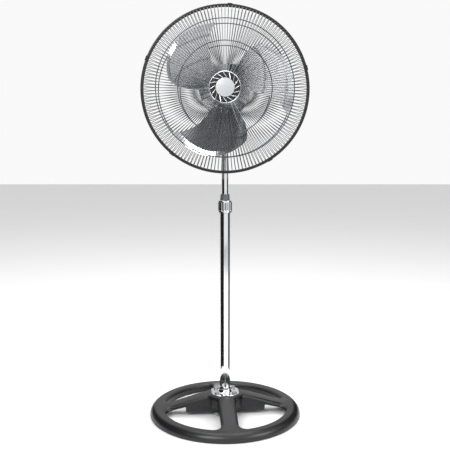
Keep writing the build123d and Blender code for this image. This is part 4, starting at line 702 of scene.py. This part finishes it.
# ------------------------------------------------------------------ fan
@dataclass
class Fan:
    """The three blades, the spun hub cup and its arms."""

    blades: int = 3
    tip_radius: float = 205.0
    plane: float = -142.0
    tip_angle: float = 218.0
    root_angle: float = 40.0
    camber_radius: float = 549.0
    camber_offset: float = 190.0
    sheet: float = 1.2
    root_radius: float = 59.0
    lip: float = 4.0
    lip_width: float = 16.0
    corner_drop: float = 40.0
    cup_radius: float = 50.0
    cup_half: float = 20.0
    arm_radius: float = 77.0
    arm_span: float = 108.0
    arm_sheet: float = 2.5
    rows: int = 56
    columns: int = 44

    def camber(self, lead: np.ndarray) -> np.ndarray:
        """Height of the curved sheet above the blades' plane, a circle's arc across the blade.

        Args:
            lead: distance towards the leading edge, in millimetres.

        Returns:
            Height towards the front, in millimetres.
        """
        peak = math.sqrt(self.camber_radius ** 2 - self.camber_offset ** 2)
        return peak - np.sqrt(self.camber_radius ** 2 - (lead - self.camber_offset) ** 2)

    def outline(self, out: np.ndarray, back: np.ndarray) -> tuple[np.ndarray, np.ndarray]:
        """Places the blade's grid: polar radius and angle from two shares.

        The leading edge runs back by 18 degrees times one minus a power of the radius, so that it ends in a
        pointed tip. The outer edge bulges as a sine over a circle, and past its middle it falls to the
        trailing corner as a power. The trailing edge opens from 62 degrees there to 84 at the root.

        Args:
            out: share of the way from the root to the outer edge.
            back: share of the way from the leading to the trailing edge.

        Returns:
            Radius in millimetres and angle behind the leading tip in degrees.
        """
        corner = np.clip((back - 0.5) / 0.5, 0, 1) ** 2.1
        edge = self.tip_radius + 3.2 * np.sin(np.pi * np.clip(back / 0.9, 0, 1)) - corner * self.corner_drop
        radius = self.root_radius + out * (edge - self.root_radius)
        share = np.clip((radius - self.root_radius) / (self.tip_radius - self.root_radius), 0, 1)
        leading = 18 * (1 - share ** 2.1)
        trailing = 84 - 22 * np.clip(share, 0, 1) ** 2.6
        return radius, leading + back * (trailing - leading)

    def blade(self, number: int) -> None:
        """Builds one blade as two offset faces of a curved sheet with a lip turned along its outer edge."""
        out = (np.linspace(0, 1, self.rows) ** 0.9)[:, None]
        back = (0.5 - 0.5 * np.cos(np.linspace(0, 1, self.columns) * math.pi))[None, :]
        radius, behind = self.outline(out + 0 * back, back + 0 * out)
        angle = np.radians(behind - self.root_angle)
        x, z = radius * np.cos(angle), radius * np.sin(angle)
        inset = (1 - out) * (radius.max(axis=0, keepdims=True) - self.root_radius)
        fold = np.clip(1 - inset / self.lip_width, 0, 1) * (1 - back ** 6)
        height = self.camber(-z) + fold * self.lip
        face = np.stack([x, self.plane - height, z], axis=-1)
        slope = np.cross(np.gradient(face, axis=0), np.gradient(face, axis=1))
        slope /= np.linalg.norm(slope, axis=-1, keepdims=True)
        toward_front = -np.sign(slope[..., 1:2])
        rear = face - slope * toward_front * self.sheet
        move = np.array([0, 0, AXIS])
        turn = math.radians(self.tip_angle + self.root_angle + 360 / self.blades * number)
        sheet = slab(face * MM + move, rear * MM + move).flipped().turned(np.array([turn]))
        piece = make_piece(f"blade_{number + 1}", sheet, "rotor",
                           (f"fan_blade_{number + 1}",), 50)
        dress(piece, POLISHED)

    def hub(self) -> None:
        """Builds the spun cup with its boss, and three curved arms on the same camber as the blades."""
        front, rear = self.plane - self.cup_half, self.plane + self.cup_half
        cup = [(4.05, front), (self.cup_radius - 7, front), (self.cup_radius - 2, front + 2),
               (self.cup_radius, front + 7), (self.cup_radius, rear), (self.cup_radius - 2.5, rear),
               (self.cup_radius - 2.5, front + 7.5), (self.cup_radius - 8, front + 2.5), (12.0, front + 2.5),
               (12.0, rear), (4.05, rear)]
        surface = lathe(rounded(cup, 1.2, 4), "Y", 128, (0.0, AXIS))
        span = math.radians(self.arm_span / 2)
        angle = np.linspace(-span, span, 36)[None, :]
        radius = np.linspace(self.cup_radius - 1.2, self.arm_radius, 10)[:, None]
        x, z = radius * np.cos(angle), radius * np.sin(angle)
        face = np.stack([x, self.plane - self.camber(-z) + self.sheet, z], axis=-1)
        back = face + np.array([0, self.arm_sheet, 0])
        move = np.array([0, 0, AXIS])
        first = math.radians(self.tip_angle + self.root_angle)
        turns = first + np.arange(self.blades) / self.blades * TAU
        surface = surface.joined(slab(face * MM + move, back * MM + move).flipped().turned(turns))
        piece = make_piece("hub_spinning", surface, "rotor", ("blade_hub",))
        dress(piece, BRUSHED)

    def build(self) -> None:
        """Builds the blades and the hub."""
        for number in range(self.blades):
            self.blade(number)
        self.hub()


# ------------------------------------------------------------------ studio
@dataclass
class Studio:
    """A pale floor, soft lights and the camera in front of the fan."""

    camera_distance: float = 2.175
    camera_height: float = 0.857
    pitch: float = 2.0
    lens: float = 54.2
    shift: float = -0.1176
    floor_half: float = 14.0
    floor_drop: float = 0.0002
    surround: float = 0.95
    screen_radius: float = 0.3
    screen_foot: float = 0.02
    screen_top: float = 0.76
    wings: tuple[tuple[float, float], ...] = (
        (-180, 0.7), (-108, 0.55), (-96, 0.14), (-30, 0.14), (-18, 1.0), (60, 1.0), (72, 0.2), (118, 0.2),
        (135, 0.75))

    def build(self) -> None:
        """Sets the floor, the lights, the world and the camera."""
        self.floor()
        self.lamp("key softbox", (-1.6, -3.0, 3.0), (0, 0, 0.6), 2.2, 105)
        self.lamp("side softbox", (2.6, -1.6, 2.0), (0, 0, 0.8), 1.4, 45)
        self.lamp("top softbox", (0.0, 0.6, 3.6), (0, 0, 0.0), 2.4, 60)
        self.screen("left screen", -112, -24)
        self.screen("right screen", 74, 124)
        self.world()
        self.camera()

    def sheet(self, name: str, points: np.ndarray) -> bpy.types.Object:
        """Makes a studio sheet, which is not part of the fan, from a grid of points.

        Args:
            name: the sheet's name.
            points: rows x columns x 3 array in metres.

        Returns:
            The new object.
        """
        surface = grid(points)
        mesh = bpy.data.meshes.new(name)
        mesh.from_pydata(surface.points.tolist(), [], surface.quads.tolist())
        sheet = bpy.data.objects.new(name, mesh)
        bpy.context.scene.collection.objects.link(sheet)
        return sheet

    def floor(self) -> None:
        """Builds the floor as a flat grid, a little below the feet."""
        side = np.linspace(-self.floor_half, self.floor_half, 2)
        x, y = np.meshgrid(side, side, indexing="ij")
        floor = self.sheet("floor", np.stack([x, y, np.full(x.shape, -self.floor_drop)], axis=-1))
        dress(floor, Finish("matt paper", "#ececec", "#e8e8e8", 0.0, 0.9, 0.02, 3.0, 0.0, 400.0))

    def lamp(self, name: str, place: tuple[float, float, float], aim: tuple[float, float, float],
             size: float, power: float) -> None:
        """Adds a square soft light that faces a point.

        Args:
            name: the light's name.
            place: its position in metres.
            aim: the point that it faces.
            size: its side in metres.
            power: its strength in watts.
        """
        light = bpy.data.lights.new(name, "AREA")
        light.size = size
        light.energy = power
        lamp = bpy.data.objects.new(name, light)
        lamp.location = place
        away = Vector(place) - Vector(aim)
        lamp.rotation_euler = away.to_track_quat("Z", "Y").to_euler()
        bpy.context.scene.collection.objects.link(lamp)

    def screen(self, name: str, start: float, end: float) -> None:
        """Stands a curved black screen beside the fan, which shows only as a dark band in bright metal.

        Args:
            name: the screen's name.
            start: azimuth of one edge in degrees, from the fan's front towards +X.
            end: azimuth of the other edge.
        """
        angle = np.radians(np.linspace(start, end, 24))[:, None]
        height = np.linspace(self.screen_foot, self.screen_top, 2)[None, :]
        x, y = self.screen_radius * np.sin(angle), -self.screen_radius * np.cos(angle)
        cloth = self.sheet(name, np.stack([x + 0 * height, y + 0 * height, height + 0 * angle], axis=-1))
        cloth.visible_camera = False
        cloth.visible_shadow = False
        cloth.visible_diffuse = False
        dress(cloth, Finish("black cloth", "#0a0a0a", "#060606", 0.0, 0.95, 0.02, 2.0, 0.0, 80.0))

    def world(self) -> None:
        """Sets a white surround whose two sides are dark, so that bright metal shows its shape.

        The sides' azimuth runs from the fan's front towards +X, and both fade out overhead and below. The
        background itself is plain white.
        """
        world = bpy.data.worlds.new("studio")
        world.use_nodes = True
        tree = world.node_tree
        tree.nodes.clear()
        toward = add_node(tree, "TexCoord").outputs["Generated"]
        parts = add_node(tree, "SeparateXYZ", links={"Vector": toward})
        front = add_node(tree, "Math", {1: -1.0}, {0: parts.outputs["Y"]}, operation="MULTIPLY")
        angle = add_node(tree, "Math", links={0: parts.outputs["X"], 1: front.outputs[0]},
                         operation="ARCTAN2")
        share = add_node(tree, "MapRange", {"From Min": -math.pi, "From Max": math.pi},
                         {"Value": angle.outputs[0]})
        ring = add_node(tree, "ValToRGB", links={"Fac": share.outputs["Result"]})
        stops = ring.color_ramp.elements
        stops.remove(stops[1])
        for number, (degrees, grey) in enumerate(self.wings):
            stop = stops.new((degrees + 180) / 360) if number else stops[0]
            stop.color = (grey, grey, grey, 1)
        lift = add_node(tree, "Math", links={0: parts.outputs["Z"]}, operation="ABSOLUTE")
        high = add_node(tree, "MapRange", {"From Min": 0.45, "From Max": 0.8}, {"Value": lift.outputs[0]})
        dome = add_node(tree, "Mix", {7: (1, 1, 1, 1)},
                        {0: high.outputs["Result"], 6: ring.outputs["Color"]}, data_type="RGBA")
        seen = add_node(tree, "LightPath").outputs["Is Camera Ray"]
        colour = add_node(tree, "Mix", {7: (1, 1, 1, 1)}, {0: seen, 6: dome.outputs[2]}, data_type="RGBA")
        shade = add_node(tree, "Background", {"Strength": self.surround}, {"Color": colour.outputs[2]})
        add_node(tree, "OutputWorld", links={"Surface": shade.outputs["Background"]})
        bpy.context.scene.world = world
        bpy.context.scene.view_settings.view_transform = "Standard"

    def camera(self) -> None:
        """Sets the camera, almost level, in front of the guard."""
        lens = bpy.data.cameras.new("camera")
        lens.lens = self.lens
        lens.shift_y = self.shift
        camera = bpy.data.objects.new("camera", lens)
        camera.location = (0, -self.camera_distance, self.camera_height)
        camera.rotation_euler = (math.radians(90 - self.pitch), 0, 0)
        bpy.context.scene.collection.objects.link(camera)
        bpy.context.scene.camera = camera


def dress_frame() -> None:
    """Gives each of the frame's own nodes the finish of its slot."""
    for part in frame["record"]["subparts"]:
        dress(NODES[part["node"]], SLOT_FINISH[part["material_slot"]])


def main() -> None:
    """Builds every sub-assembly in order."""
    dress_frame()
    for assembly in (Pole(), Guard(), Badge(), Fan(), Studio()):
        assembly.build()
        LOG.info("%s is built", type(assembly).__name__)


if __name__ == "__main__":
    logging.basicConfig(level=logging.INFO)
    main()
